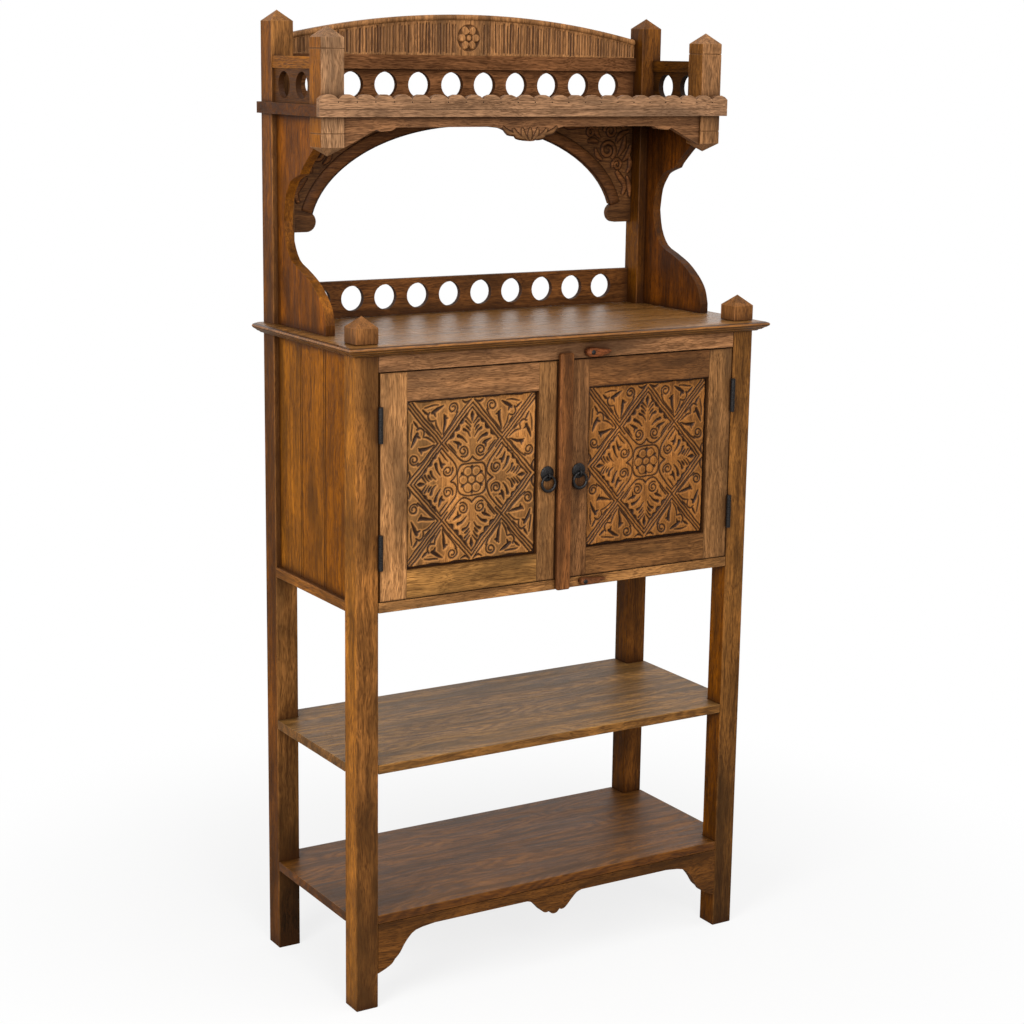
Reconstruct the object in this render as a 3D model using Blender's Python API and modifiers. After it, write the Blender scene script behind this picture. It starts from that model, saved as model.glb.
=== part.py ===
# Carved hardwood sideboard: an open stand with two shelves, a cupboard with two carved doors,
# and a hutch with an arched back, a galleried tray and a fluted crest.
# Metres, X to the right, Y to the back, Z up. The origin is on the floor under the middle.

import math

import bmesh
import bpy
from mathutils import Vector

# Overall sizes
HEIGHT = 1.800  # floor to the tips of the rear posts
WIDTH = 0.857  # over the outer faces of the posts
DEPTH = 0.375  # front of the legs to the back of the rear posts
POST = 0.0446  # square stock of posts, legs, finials and pendants
POINT = 0.0200  # height of the pyramid on a post
ARRIS = 0.0012  # softened edge of worked timber
FIT = 0.0003  # gap between pieces that touch

# Stand
SHELF = 0.0175  # thickness of the two shelves
BOTTOM_SHELF_TOP = 0.1804
MIDDLE_SHELF_TOP = 0.4694
APRON = 0.0180  # thickness of the bottom apron
APRON_RAIL = 0.0200  # straight part of the apron below the shelf
APRON_BRACKET = 0.0960  # height of its brackets at the legs
APRON_BRACKET_RUN = 0.1200  # width of a bracket
APRON_DROP = 0.0370  # depth of the drop in the middle
APRON_DROP_RUN = 0.0620  # half width of that drop

# Cupboard
CUPBOARD = 0.4620  # height from its bottom rails to the table top
RAIL = 0.0220  # thickness of the rails
BOTTOM_RAIL = 0.0190  # height of the bottom rails
TOP_RAIL = 0.0300  # height of the front top rail
SIDE_BOARD = 0.0120  # thickness of the side panels, the back and the floor
SIDE_SETBACK = 0.0095  # outer face of the posts to the side panels
SIDE_BOARDS = 3  # boards in a side panel
BACK_BOARDS = 8  # boards in the back
SCORE = 0.0022  # width and depth of the scored lines
SCORE_PAIR = 0.0065  # between the two scored lines of a board joint

# Table top
TABLE = 0.0190  # thickness
TABLE_OVERHANG = 0.0240  # past the posts at the sides and at the front
TABLE_EDGE = (  # share of the thickness, share of the overhang, from the underside up
    (0.00, 0.26),
    (0.12, 0.36),
    (0.18, 0.52),
    (0.36, 0.70),
    (0.41, 0.80),
    (0.58, 0.96),
    (0.70, 1.00),
    (0.84, 0.93),
    (0.93, 0.74),
    (1.00, 0.40),
)
FINIAL = 0.0485  # height of the posts' ends above the table top

# Doors
DOOR = 0.0210  # thickness
DOOR_GAP = 0.0020  # above and below a door
HINGE_GAP = 0.0032  # between a door and its leg
MEETING_GAP = 0.0022  # between the doors
HINGE_STILE = 0.0532
CENTRE_STILES = 0.1090  # between the two carved panels
DOOR_RAIL = 0.0520
GROOVE = 0.0070  # width of the groove that holds a panel
GROOVE_DEPTH = 0.0070
GROOVE_INSET = 0.0085  # front of the door to the groove
TENON_SHOULDER = 0.0040  # above and below a stub tenon
PANEL_PLAY = 0.0008  # room for the panel in its frame
PANEL_RECESS = 0.0052  # front of the door to the ground of the carving
BAND = 0.0125  # width of the carved bands
BAND_RELIEF = 0.0026
CORNER_BAND = 0.0730  # length of a band from a corner towards the middle, along its width
PETALS = 6  # of a rosette
ROSETTE_RING = 0.0185  # middle of a rosette to the middle of a petal
PETAL = 0.0112  # radius of a petal
ROSETTE_EYE = 0.0075  # radius of the boss in the middle
ASTRAGAL = 0.0290  # width of the strip on the meeting stile
ASTRAGAL_DEPTH = 0.0115
ASTRAGAL_LAP = 0.0125  # length over the front top rail

# Hinges
BARREL = 0.0044  # radius of the knuckles
BARREL_LENGTH = 0.0640
PIN = 0.0018  # radius
PIN_OUT = 0.0052  # pin ahead of the front of the doors
LEAF = 0.0010  # thickness
LEAF_WIDTH = 0.0170
RUN_GAP = 0.0004  # running gap of turning metal
HINGE_FROM_END = 0.0900  # middle of a hinge from the end of its door

# Ring pulls
PULL_RISE = 0.2010  # bottom of a door to the middle of its plate
PULL_EYE_DROP = 0.0033  # middle of a plate to the middle of its eye
PULL_PLATE = 0.0142  # radius
PULL_DOME = 0.0034  # thickness
RING = 0.0142  # radius to the middle of the wire
RING_WIRE = 0.0021  # radius of the wire
EYE_WIRE = 0.0016  # radius of the eye's wire

# Turn buttons
BUTTON = 0.0160  # thickness
BUTTON_WIDTH = 0.0185
BUTTON_LENGTH = 0.0450  # pivot to tip, upper button
BUTTON_HEAD = 0.0110  # pivot to the other end
BUTTON_POINT = 0.0160  # length of the pointed end
LOWER_BUTTON_WIDTH = 0.0140
LOWER_BUTTON_LENGTH = 0.0500
UPPER_BUTTON_X = 0.0520
LOWER_BUTTON_X = 0.0450
SCREW = 0.0022  # radius of the pivot screws
SCREW_HEAD = 0.0045  # radius
SCREW_DOME = 0.0020  # height of the head
SCREW_HOLD = 0.0140  # length in the rail

# Hutch
HUTCH = 0.5665  # height of the rear posts over the table top
TRAY_DROP = 0.1630  # tips of the rear posts to the tray
TRAY_DEPTH = 0.2459  # back of the rear posts to the front of the pendants
TRAY = 0.0205  # thickness of the tray board
TRAY_END = 0.0090  # past the posts
HUTCH_BOARD = 0.0180  # thickness of the sides
HUTCH_DEPTH = 0.2415  # back of the rear posts to the front of the sides at the table top
HUTCH_NECK = 0.0266  # least width of the sides, ahead of the rear posts
PENDANT_LOWER = 0.0282  # tips of the rear posts to the tips of the pendants
PENDANT_LENGTH = 0.2240
PENDANT_DROP_POINT = 0.0160
PENDANT_SCORES = (0.0395, 0.0390)  # from the bottom tip and from the top tip
FASCIA = 0.0120  # thickness of the scalloped fascia
FASCIA_HEIGHT = 0.0390
SCALLOPS = 24
SCALLOP_RISE = 0.0085
SCALLOP_DOT = 0.0016  # radius of the holes under the cusps
FASCIA_SCORE = 0.0125  # scored line above the lower edge
VALANCE = 0.0160  # thickness of the shaped board under the tray
VALANCE_INSET = 0.0040  # behind the pendants' front
VALANCE_RAIL = 0.0185  # height of its straight part
VALANCE_BRACKET = 0.0540  # height at the pendants
VALANCE_BRACKET_RUN = 0.0660
VALANCE_DROP = 0.0265  # drop in the middle
VALANCE_DROP_RUN = 0.0720

# Arched back, galleries and crest
THIN_BOARD = 0.0110  # thickness of the pierced and arched boards
BOARD_INSET = 0.0045  # back to the arched boards and the pierced board over them
HOLE = 0.0240  # radius of the pierced rounds
HOLES = 10
HOLE_END = 0.0653  # post to the middle of the first round, on the table top
TRAY_HOLE_END = 0.0610  # the same, on the tray
GALLERY = 0.0690  # height of the gallery on the table top
GALLERY_HOLE_RISE = 0.0355
ARCH_RISE = 0.1940  # height of the arch
ARCH_BELOW = 0.0245  # tray to the crown of the arch
ARCH_OUT = 0.0448  # post to the arch at its lower end
ARCH_KNOB = 0.0190  # radius of the knobs at the ends of the arch
ARCH_KNOB_OUT = 0.0384  # post to the middle of a knob
TRAY_BOARD = 0.0600  # height of the pierced boards round the tray
TRAY_HOLE_RISE = 0.0310
GALLERY_RAIL = 0.0260  # height of the rail over them
REAR_RAIL = 0.0225  # back to the front of the rear rail
GALLERY_SETBACK = 0.0050  # outer face of the posts to the side boards
SIDE_RAIL_PROUD = 0.0035  # side rails, outside their pierced boards
SIDE_RAIL = 0.0215  # height of the side rails
SIDE_HOLE_PITCH = 0.0720
CREST = 0.0155  # thickness of the fluted crest
CREST_END_RISE = 0.0350  # height at the posts
CREST_BAND = 0.0105  # height of the band along its top
CREST_BAND_PROUD = 0.0040
CREST_FLUTES = 41  # on each side of the rosette
FLUTE = 0.0028  # depth of a flute
CREST_PLAIN = 0.0160  # half width of the plain part round the rosette
CREST_ROSETTE_RING = 0.0150
CREST_PETAL = 0.0088
CREST_EYE = 0.0062

# Places worked out from the sizes
HALF = WIDTH / 2
INNER = HALF - POST
BACK = (DEPTH + TABLE_OVERHANG) / 2
FRONT = BACK - DEPTH
TABLE_TOP = HEIGHT - HUTCH
TABLE_UNDER = TABLE_TOP - TABLE
CUPBOARD_BOTTOM = TABLE_UNDER - CUPBOARD
SIDE_OUT = HALF - SIDE_SETBACK
RAIL_UNDER = TABLE_UNDER - FIT - TOP_RAIL
DOOR_BOTTOM = CUPBOARD_BOTTOM + BOTTOM_RAIL + DOOR_GAP
DOOR_TOP = RAIL_UNDER - DOOR_GAP
DOOR_EDGE = INNER - HINGE_GAP
PULL_HEIGHT = DOOR_BOTTOM + PULL_RISE
HINGE_X = INNER - HINGE_GAP / 2
HINGE_Y = FRONT - PIN_OUT
TRAY_TOP = HEIGHT - TRAY_DROP
TRAY_UNDER = TRAY_TOP - TRAY
PENDANT_TOP = HEIGHT - PENDANT_LOWER
PENDANT_FRONT = BACK - TRAY_DEPTH
PENDANT_BACK = PENDANT_FRONT + POST
POST_FRONT = BACK - POST
ARCH_CROWN = TRAY_UNDER - ARCH_BELOW
ARCH_SPRING = ARCH_CROWN - ARCH_RISE
CREST_BOTTOM = TRAY_TOP + FIT + TRAY_BOARD + GALLERY_RAIL + FIT
UP = "up"
ACROSS = "across"
ALONG = "along"
TURNS = {  # rotation that lays an outline flat, upright across the width, or upright along the depth
    UP: (0, 0, 0),
    ACROSS: (math.pi / 2, 0, 0),
    ALONG: (math.pi / 2, 0, math.pi / 2),
}

for old in list(bpy.data.objects):
    bpy.data.objects.remove(old)
parts = bpy.data.collections.new("sideboard")
cutters = bpy.data.collections.new("cutters")
bpy.context.scene.collection.children.link(parts)
bpy.context.scene.collection.children.link(cutters)


def finish(name, colour, roughness, metallic=0.0):
    material = bpy.data.materials.new(name)
    material.use_nodes = True
    shader = material.node_tree.nodes["Principled BSDF"]
    shader.inputs["Base Color"].default_value = (*colour, 1)
    shader.inputs["Roughness"].default_value = roughness
    shader.inputs["Metallic"].default_value = metallic
    return material


frame_wood = finish("oiled_frame_wood", (0.25, 0.12, 0.05), 0.55)
panel_wood = finish("oiled_panel_wood", (0.30, 0.14, 0.05), 0.55)
carved_wood = finish("carved_wood", (0.33, 0.16, 0.06), 0.6)
shelf_wood = finish("worn_shelf_wood", (0.24, 0.15, 0.08), 0.6)
iron = finish("black_iron", (0.02, 0.02, 0.02), 0.5, 0.8)


def add(name, mesh, at, material, turn=UP, edge=0.0):
    # Links a mesh as a part, or as a hidden helper where it has no material.
    obj = bpy.data.objects.new(name, mesh)
    obj.location = at
    obj.rotation_euler = TURNS[turn]
    if material:
        mesh.materials.append(material)
        parts.objects.link(obj)
    else:
        cutters.objects.link(obj)
        obj.hide_render = True
        obj.display_type = "WIRE"
    if edge:
        bevel = obj.modifiers.new("softened_edges", "BEVEL")
        bevel.width = edge
        bevel.segments = 1
        bevel.limit_method = "ANGLE"
        bevel.angle_limit = math.radians(60)
    return obj


def to_mesh(name, bm):
    bmesh.ops.recalc_face_normals(bm, faces=bm.faces)
    mesh = bpy.data.meshes.new(name)
    bm.to_mesh(mesh)
    bm.free()
    return mesh


def block(name, low, high, material=None, edge=ARRIS):
    # A box between two corners.
    low = Vector(low)
    high = Vector(high)
    bm = bmesh.new()
    bmesh.ops.create_cube(bm, size=1.0)
    bmesh.ops.scale(bm, vec=high - low, verts=bm.verts)
    return add(name, to_mesh(name, bm), (low + high) / 2, material, edge=edge if material else 0.0)


def rod(name, radius, start, end, material=None, segments=20):
    # A cylinder between two points on a line along one axis.
    start = Vector(start)
    end = Vector(end)
    bm = bmesh.new()
    bmesh.ops.create_cone(
        bm,
        cap_ends=True,
        segments=segments,
        radius1=radius,
        radius2=radius,
        depth=(end - start).length,
    )
    turn = (end - start).to_track_quat("Z", "Y").to_matrix()
    bmesh.ops.rotate(bm, cent=(0, 0, 0), matrix=turn, verts=bm.verts)
    return add(name, to_mesh(name, bm), (start + end) / 2, material)


def stacked(name, sections, at, material, edge=0.0, points=(0.0, 0.0)):
    # A face drawn up through rectangles (z, left, right, front, back), with pyramids on its ends.
    bm = bmesh.new()
    bmesh.ops.create_grid(bm, x_segments=1, y_segments=1, size=1.0)
    face = bm.faces[:][0]
    for i, (z, left, right, front, back) in enumerate(sections):
        if i:
            drawn = bmesh.ops.extrude_face_region(bm, geom=[face])["geom"]
            if i > 1:
                bmesh.ops.delete(bm, geom=[face], context="FACES_ONLY")
            face = next(item for item in drawn if isinstance(item, bmesh.types.BMFace))
        middle = face.calc_center_median()
        for vert in face.verts:
            x = right if vert.co.x > middle.x else left
            y = back if vert.co.y > middle.y else front
            vert.co = (x, y, z)
    bmesh.ops.recalc_face_normals(bm, faces=bm.faces)
    for sign, height in zip((-1, 1), points):
        if height:
            end = max(bm.faces, key=lambda f: sign * f.calc_center_median().z)
            tip = bmesh.ops.poke(bm, faces=[end])["verts"][0]
            tip.co.z += sign * height
    return add(name, to_mesh(name, bm), at, material, edge=edge)


def plate(name, outlines, thickness, at, turn, material=None, edge=0.0):
    # Outlines drawn as flat faces and given half the thickness each way.
    bm = bmesh.new()
    for outline in outlines:
        face = bm.faces.new([bm.verts.new((u, v, -thickness / 2)) for u, v in outline])
        drawn = bmesh.ops.extrude_face_region(bm, geom=[face], use_keep_orig=True)["geom"]
        raised = [item for item in drawn if isinstance(item, bmesh.types.BMVert)]
        bmesh.ops.translate(bm, vec=(0, 0, thickness), verts=raised)
    bmesh.ops.triangulate(bm, faces=[face for face in bm.faces if len(face.verts) > 4])
    return add(name, to_mesh(name, bm), at, material, turn, edge)


def combine(obj, other, operation):
    modifier = obj.modifiers.new(other.name, "BOOLEAN")
    modifier.operation = operation
    modifier.solver = "EXACT"
    modifier.object = other
    return obj


def cut(obj, other):
    return combine(obj, other, "DIFFERENCE")


def join(obj, other):
    return combine(obj, other, "UNION")


def arc(u, v, radius, start, end, steps):
    # Points on a round stretch, angles in degrees.
    turns = [math.radians(start + (end - start) * i / steps) for i in range(steps + 1)]
    return [(u + radius * math.cos(t), v + radius * math.sin(t)) for t in turns]


def circle(u, v, radius, steps=24):
    return arc(u, v, radius, 0, 360, steps)[:-1]


def flowing(points, steps=5):
    # A smooth line through the points, ends included.
    ends = [points[0]] + list(points) + [points[-1]]
    line = []
    for p0, p1, p2, p3 in zip(ends, ends[1:], ends[2:], ends[3:]):
        for i in range(steps):
            t = i / steps
            point = []
            for a, b, c, d in zip(p0, p1, p2, p3):
                square = (2 * a - 5 * b + 4 * c - d) * t**2
                cube = (3 * b - a - 3 * c + d) * t**3
                point.append((2 * b + (c - a) * t + square + cube) / 2)
            line.append(tuple(point))
    return line + [points[-1]]


def mirrored(points):
    # The same line on the other side of the middle, run the other way.
    return [(-u, v) for u, v in reversed(points)]


def rectangle(left, right, low, high):
    return [(left, low), (right, low), (right, high), (left, high)]


def hang(pieces, empty):
    # Pieces that turn together keep their places under an empty on their axis.
    bpy.context.view_layer.update()
    for piece in pieces:
        piece.parent = empty
        piece.matrix_parent_inverse = empty.matrix_world.inverted()


def axis(name, at):
    empty = bpy.data.objects.new(name, None)
    empty.location = at
    empty.empty_display_size = 0.05
    parts.objects.link(empty)
    return empty


SIDES = (("left", -1), ("right", 1))


def post(name, x, y, bottom, top, points=(0.0, POINT), scores=()):
    # Square stock with pyramids on its ends and scored rings at the heights given.
    half = POST / 2
    levels = [(bottom + points[0], 0.0)]
    for z in sorted(scores):
        levels += [(z - SCORE / 2, 0.0), (z, SCORE / 2), (z + SCORE / 2, 0.0)]
    levels.append((top - points[1], 0.0))
    sections = [(z, inset - half, half - inset, inset - half, half - inset) for z, inset in levels]
    return stacked(name, sections, (x, y, 0), frame_wood, 0.0 if scores else ARRIS, points)


def posts():
    for side, sign in SIDES:
        x = sign * (HALF - POST / 2)
        post(f"rear_{side}_post", x, BACK - POST / 2, 0, HEIGHT)
        post(f"front_{side}_leg", x, FRONT + POST / 2, 0, TABLE_UNDER - FIT, (0.0, 0.0))
        low = TABLE_TOP + FIT
        post(f"front_{side}_finial", x, FRONT + POST / 2, low, TABLE_TOP + FINIAL)
        low = PENDANT_TOP - PENDANT_LENGTH
        scores = (low + PENDANT_SCORES[0], PENDANT_TOP - PENDANT_SCORES[1])
        middle = PENDANT_FRONT + POST / 2
        post(f"front_{side}_pendant", x, middle, low, PENDANT_TOP, (PENDANT_DROP_POINT, POINT), scores)


def notched(left, right, front, back, notch_x, notch_front, notch_back):
    # A board's outline with its four corners cut back to the lines given.
    return [
        (-notch_x, front),
        (notch_x, front),
        (notch_x, notch_front),
        (right, notch_front),
        (right, notch_back),
        (notch_x, notch_back),
        (notch_x, back),
        (-notch_x, back),
        (-notch_x, notch_back),
        (left, notch_back),
        (left, notch_front),
        (-notch_x, notch_front),
    ]


def shelves():
    clear = INNER - FIT
    outline = notched(-HALF, HALF, FRONT, BACK, clear, FRONT + POST + FIT, POST_FRONT - FIT)
    for name, top in (("bottom_shelf", BOTTOM_SHELF_TOP), ("middle_shelf", MIDDLE_SHELF_TOP)):
        plate(name, [outline], SHELF, (0, 0, top - SHELF / 2), UP, shelf_wood, ARRIS)


def bottom_apron():
    top = BOTTOM_SHELF_TOP - SHELF - FIT
    straight = top - APRON_RAIL
    tip = top - APRON_BRACKET
    end = INNER - FIT
    run = end - APRON_BRACKET_RUN
    rise = straight - tip
    ogee = [(0.0, 0.0), (0.34, 0.08), (0.51, 0.31), (0.62, 0.58), (0.71, 0.72)]
    toe = [(0.71, 0.72), (0.76, 0.82), (0.86, 0.91), (1.0, 1.0)]
    curves = flowing(ogee, 3) + flowing(toe, 3)[1:]
    bracket = [(run + u * APRON_BRACKET_RUN, straight - v * rise) for u, v in curves]
    middle_lobe = [(0.0, 1.0), (0.10, 0.96), (0.19, 0.80)]
    side_lobe = [(0.19, 0.80), (0.27, 0.845), (0.36, 0.82), (0.46, 0.70)]
    side_lobe += [(0.64, 0.38), (0.82, 0.11), (1.0, 0.0)]
    lobes = flowing(middle_lobe, 3) + flowing(side_lobe, 3)[1:]
    drop = [(u * APRON_DROP_RUN, straight - v * APRON_DROP) for u, v in lobes]
    lower = drop + bracket
    outline = mirrored(lower)[:-1] + lower + [(end, top), (-end, top)]
    plate("bottom_apron", [outline], APRON, (0, FRONT + APRON / 2, 0), ACROSS, frame_wood)


def planked(name, width, height, boards, at, turn_out):
    # Upright boards seen from above, with two scored lines at each joint of the outer face.
    half = width / 2
    outer = [(-half, SIDE_BOARD / 2)]
    for joint in range(1, boards):
        middle = -half + width * joint / boards
        for score in (middle - SCORE_PAIR / 2, middle + SCORE_PAIR / 2):
            outer += [
                (score - SCORE / 2, SIDE_BOARD / 2),
                (score, SIDE_BOARD / 2 - SCORE),
                (score + SCORE / 2, SIDE_BOARD / 2),
            ]
    outer.append((half, SIDE_BOARD / 2))
    outline = outer + [(half, -SIDE_BOARD / 2), (-half, -SIDE_BOARD / 2)]
    board = plate(name, [outline], height, at, UP, panel_wood)
    board.rotation_euler = (0, 0, turn_out)
    return board


def cupboard():
    side_front = FRONT + POST + FIT
    side_back = POST_FRONT - FIT
    middle_y = (side_front + side_back) / 2
    clear = INNER - FIT
    rail_top = CUPBOARD_BOTTOM + BOTTOM_RAIL
    side_low = rail_top + FIT
    side_high = TABLE_UNDER - FIT
    for side, sign in SIDES:
        near, far = sorted((sign * (HALF - RAIL), sign * HALF))
        block(
            f"{side}_bottom_rail",
            (near, side_front, CUPBOARD_BOTTOM),
            (far, side_back, rail_top),
            frame_wood,
        )
        planked(
            f"{side}_side_panel",
            side_back - side_front,
            side_high - side_low,
            SIDE_BOARDS,
            (sign * (SIDE_OUT - SIDE_BOARD / 2), middle_y, (side_low + side_high) / 2),
            -sign * math.pi / 2,
        )
    planked(
        "cupboard_back",
        2 * clear,
        side_high - CUPBOARD_BOTTOM,
        BACK_BOARDS,
        (0, BACK - SIDE_BOARD / 2, (CUPBOARD_BOTTOM + side_high) / 2),
        0,
    )
    floor_side = HALF - RAIL - FIT
    outline = notched(
        -floor_side,
        floor_side,
        FRONT + RAIL + FIT,
        BACK - SIDE_BOARD - FIT,
        clear,
        side_front,
        side_back,
    )
    floor_middle = rail_top - SIDE_BOARD / 2
    plate("cupboard_floor", [outline], SIDE_BOARD, (0, 0, floor_middle), UP, shelf_wood)
    top_rail = block(
        "front_top_rail",
        (-clear, FRONT, RAIL_UNDER),
        (clear, FRONT + RAIL, RAIL_UNDER + TOP_RAIL),
        frame_wood,
    )
    bottom_rail = block(
        "front_bottom_rail",
        (-clear, FRONT, CUPBOARD_BOTTOM),
        (clear, FRONT + RAIL, rail_top),
        frame_wood,
    )
    return top_rail, bottom_rail


def table_top():
    sections = []
    for up, out in TABLE_EDGE:
        reach = out * TABLE_OVERHANG
        z = TABLE_UNDER + up * TABLE
        sections.append((z, -HALF - reach, HALF + reach, FRONT - reach, BACK))
    top = stacked("table_top", sections, (0, 0, 0), shelf_wood)
    for side, sign in SIDES:
        near, far = sorted((sign * (INNER - FIT), sign * (HALF + FIT)))
        notch = block(
            f"{side}_post_notch",
            (near, POST_FRONT - FIT, TABLE_UNDER - POST),
            (far, BACK + POST, TABLE_TOP + POST),
        )
        cut(top, notch)


def stile(name, edge, opening, low, high, material):
    # An upright of a door, grooved along the side that holds the panel.
    inward = math.copysign(GROOVE_DEPTH, edge - opening)
    g0 = FRONT + GROOVE_INSET
    g1 = g0 + GROOVE
    outline = [
        (edge, FRONT),
        (opening, FRONT),
        (opening, g0),
        (opening + inward, g0),
        (opening + inward, g1),
        (opening, g1),
        (opening, FRONT + DOOR),
        (edge, FRONT + DOOR),
    ]
    return plate(name, [outline], high - low, (0, 0, (low + high) / 2), UP, material)


def door_rail(name, left, right, low, high, groove_side):
    # A cross piece grooved for the panel, with a stub tenon at each end for the stiles' grooves.
    g0 = FRONT + GROOVE_INSET
    g1 = g0 + GROOVE
    back = FRONT + DOOR
    if groove_side > 0:
        plain, grooved, floor = low, high, high - GROOVE_DEPTH
    else:
        plain, grooved, floor = high, low, low + GROOVE_DEPTH
    outline = [
        (FRONT, plain),
        (FRONT, grooved),
        (g0, grooved),
        (g0, floor),
        (g1, floor),
        (g1, grooved),
        (back, grooved),
        (back, plain),
    ]
    a = left + FIT
    b = right - FIT
    rail = plate(name, [outline], b - a, ((a + b) / 2, 0, 0), ALONG, frame_wood)
    tenon = GROOVE_DEPTH - FIT
    tenon_low, tenon_high = sorted((plain, floor))
    tenons = block(
        f"{name}_tenons",
        (a - tenon, g0 + FIT, tenon_low + TENON_SHOULDER),
        (b + tenon, g1 - FIT, tenon_high - TENON_SHOULDER),
    )
    return join(rail, tenons)


def bar(name, start, end, width, front, back):
    # A band of the lattice, laid from point to point on the face of a panel.
    start = Vector(start)
    end = Vector(end)
    along = end - start
    outline = rectangle(-along.length / 2, along.length / 2, -width / 2, width / 2)
    middle = (start + end) / 2
    band = plate(name, [outline], back - front, (middle.x, (front + back) / 2, middle.y), ACROSS)
    band.rotation_euler = (math.pi / 2, -math.atan2(along.y, along.x), 0)
    return band


def rosette(obj, name, x, z, front, back, ring, petal, eye):
    # Six round petals about a boss, drawn as one lobed outline.
    lap = math.radians(180 / PETALS)
    meet = ring * math.cos(lap) + math.sqrt(petal**2 - (ring * math.sin(lap)) ** 2)
    spread = math.degrees(math.atan2(meet * math.sin(lap), meet * math.cos(lap) - ring))
    outline = []
    for i in range(PETALS):
        turn = 360 * i / PETALS
        u = x + ring * math.cos(math.radians(turn))
        w = z + ring * math.sin(math.radians(turn))
        outline += arc(u, w, petal, turn - spread, turn + spread, 6)[:-1]
    flower = plate(f"{name}_petals", [outline], back - front, (0, (front + back) / 2, 0), ACROSS)
    join(obj, flower)
    lift = BAND_RELIEF / 3
    join(obj, rod(f"{name}_eye", eye, (x, front - lift, z), (x, back - lift, z), segments=14))


def carved_panel(name, left, right, low, high):
    g0 = FRONT + GROOVE_INSET + FIT
    g1 = FRONT + GROOVE_INSET + GROOVE - FIT
    tongue = GROOVE_DEPTH - PANEL_PLAY
    panel = block(
        name,
        (left - tongue, g0, low - tongue),
        (right + tongue, g1, high + tongue),
        carved_wood,
        0.0,
    )
    ground = FRONT + PANEL_RECESS
    field = (left + PANEL_PLAY, right - PANEL_PLAY, low + PANEL_PLAY, high - PANEL_PLAY)
    middle_y = (g0 + g1) / 2
    raised = block(f"{name}_field", (field[0], ground, field[2]), (field[1], middle_y, field[3]))
    join(panel, raised)
    x = (left + right) / 2
    z = (low + high) / 2
    # The bands stop short of the field's edge by their own half width.
    half_x = (field[1] - field[0]) / 2 - BAND / 2
    half_z = (field[3] - field[2]) / 2 - BAND / 2
    front = ground - BAND_RELIEF
    step = BAND_RELIEF / 12  # each band a hair lower than the last, as carved crossings are
    corners = [(1, 1), (-1, 1), (-1, -1), (1, -1)]
    for i, (sx, sz) in enumerate(corners):
        start = (x + sx * half_x, z)
        end = (x, z + sz * half_z)
        join(panel, bar(f"{name}_diamond_{i}", start, end, BAND, front + i * step, middle_y))
        start = (x + sx * half_x, z + sz * half_z)
        left_over = 1 - CORNER_BAND / half_x
        end = (x + sx * left_over * half_x, z + sz * left_over * half_z)
        low_front = front + (i + 4) * step
        join(panel, bar(f"{name}_corner_{i}", start, end, BAND, low_front, middle_y))
    rosette(panel, name, x, z, front, middle_y, ROSETTE_RING, PETAL, ROSETTE_EYE)
    return panel


def doors():
    low = DOOR_BOTTOM
    high = DOOR_TOP
    for side, sign in SIDES:
        outer = sign * (DOOR_EDGE - HINGE_STILE)
        inner = sign * CENTRE_STILES / 2
        meeting = -ASTRAGAL / 2
        if side == "left":
            meeting -= MEETING_GAP
        left, right = sorted((outer, inner))
        name = f"{side}_door"
        pieces = [
            stile(f"{name}_hinge_stile", sign * DOOR_EDGE, outer, low, high, frame_wood),
            stile(f"{name}_meeting_stile", meeting, inner, low, high, frame_wood),
            door_rail(f"{name}_top_rail", left, right, high - DOOR_RAIL, high, -1),
            door_rail(f"{name}_bottom_rail", left, right, low, low + DOOR_RAIL, 1),
            carved_panel(f"{name}_panel", left, right, low + DOOR_RAIL, high - DOOR_RAIL),
        ]
        if side == "right":
            strip = block(
                "door_astragal",
                (-ASTRAGAL / 2, FRONT - FIT - ASTRAGAL_DEPTH, CUPBOARD_BOTTOM),
                (ASTRAGAL / 2, FRONT - FIT, DOOR_TOP + DOOR_GAP + ASTRAGAL_LAP),
                frame_wood,
                ASTRAGAL_DEPTH / 4,
            )
            pieces.append(strip)
        pieces += hinges(side, sign)
        pull_x = sign * (CENTRE_STILES + ASTRAGAL) / 4
        plate_and_eye, ring = pull(side, pull_x)
        ring_axis = axis(f"{side}_pull_axis", ring.location)
        hang([ring], ring_axis)
        door_axis = axis(f"{side}_door_axis", (sign * HINGE_X, HINGE_Y, low))
        hang(pieces + [plate_and_eye, ring_axis], door_axis)


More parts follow.
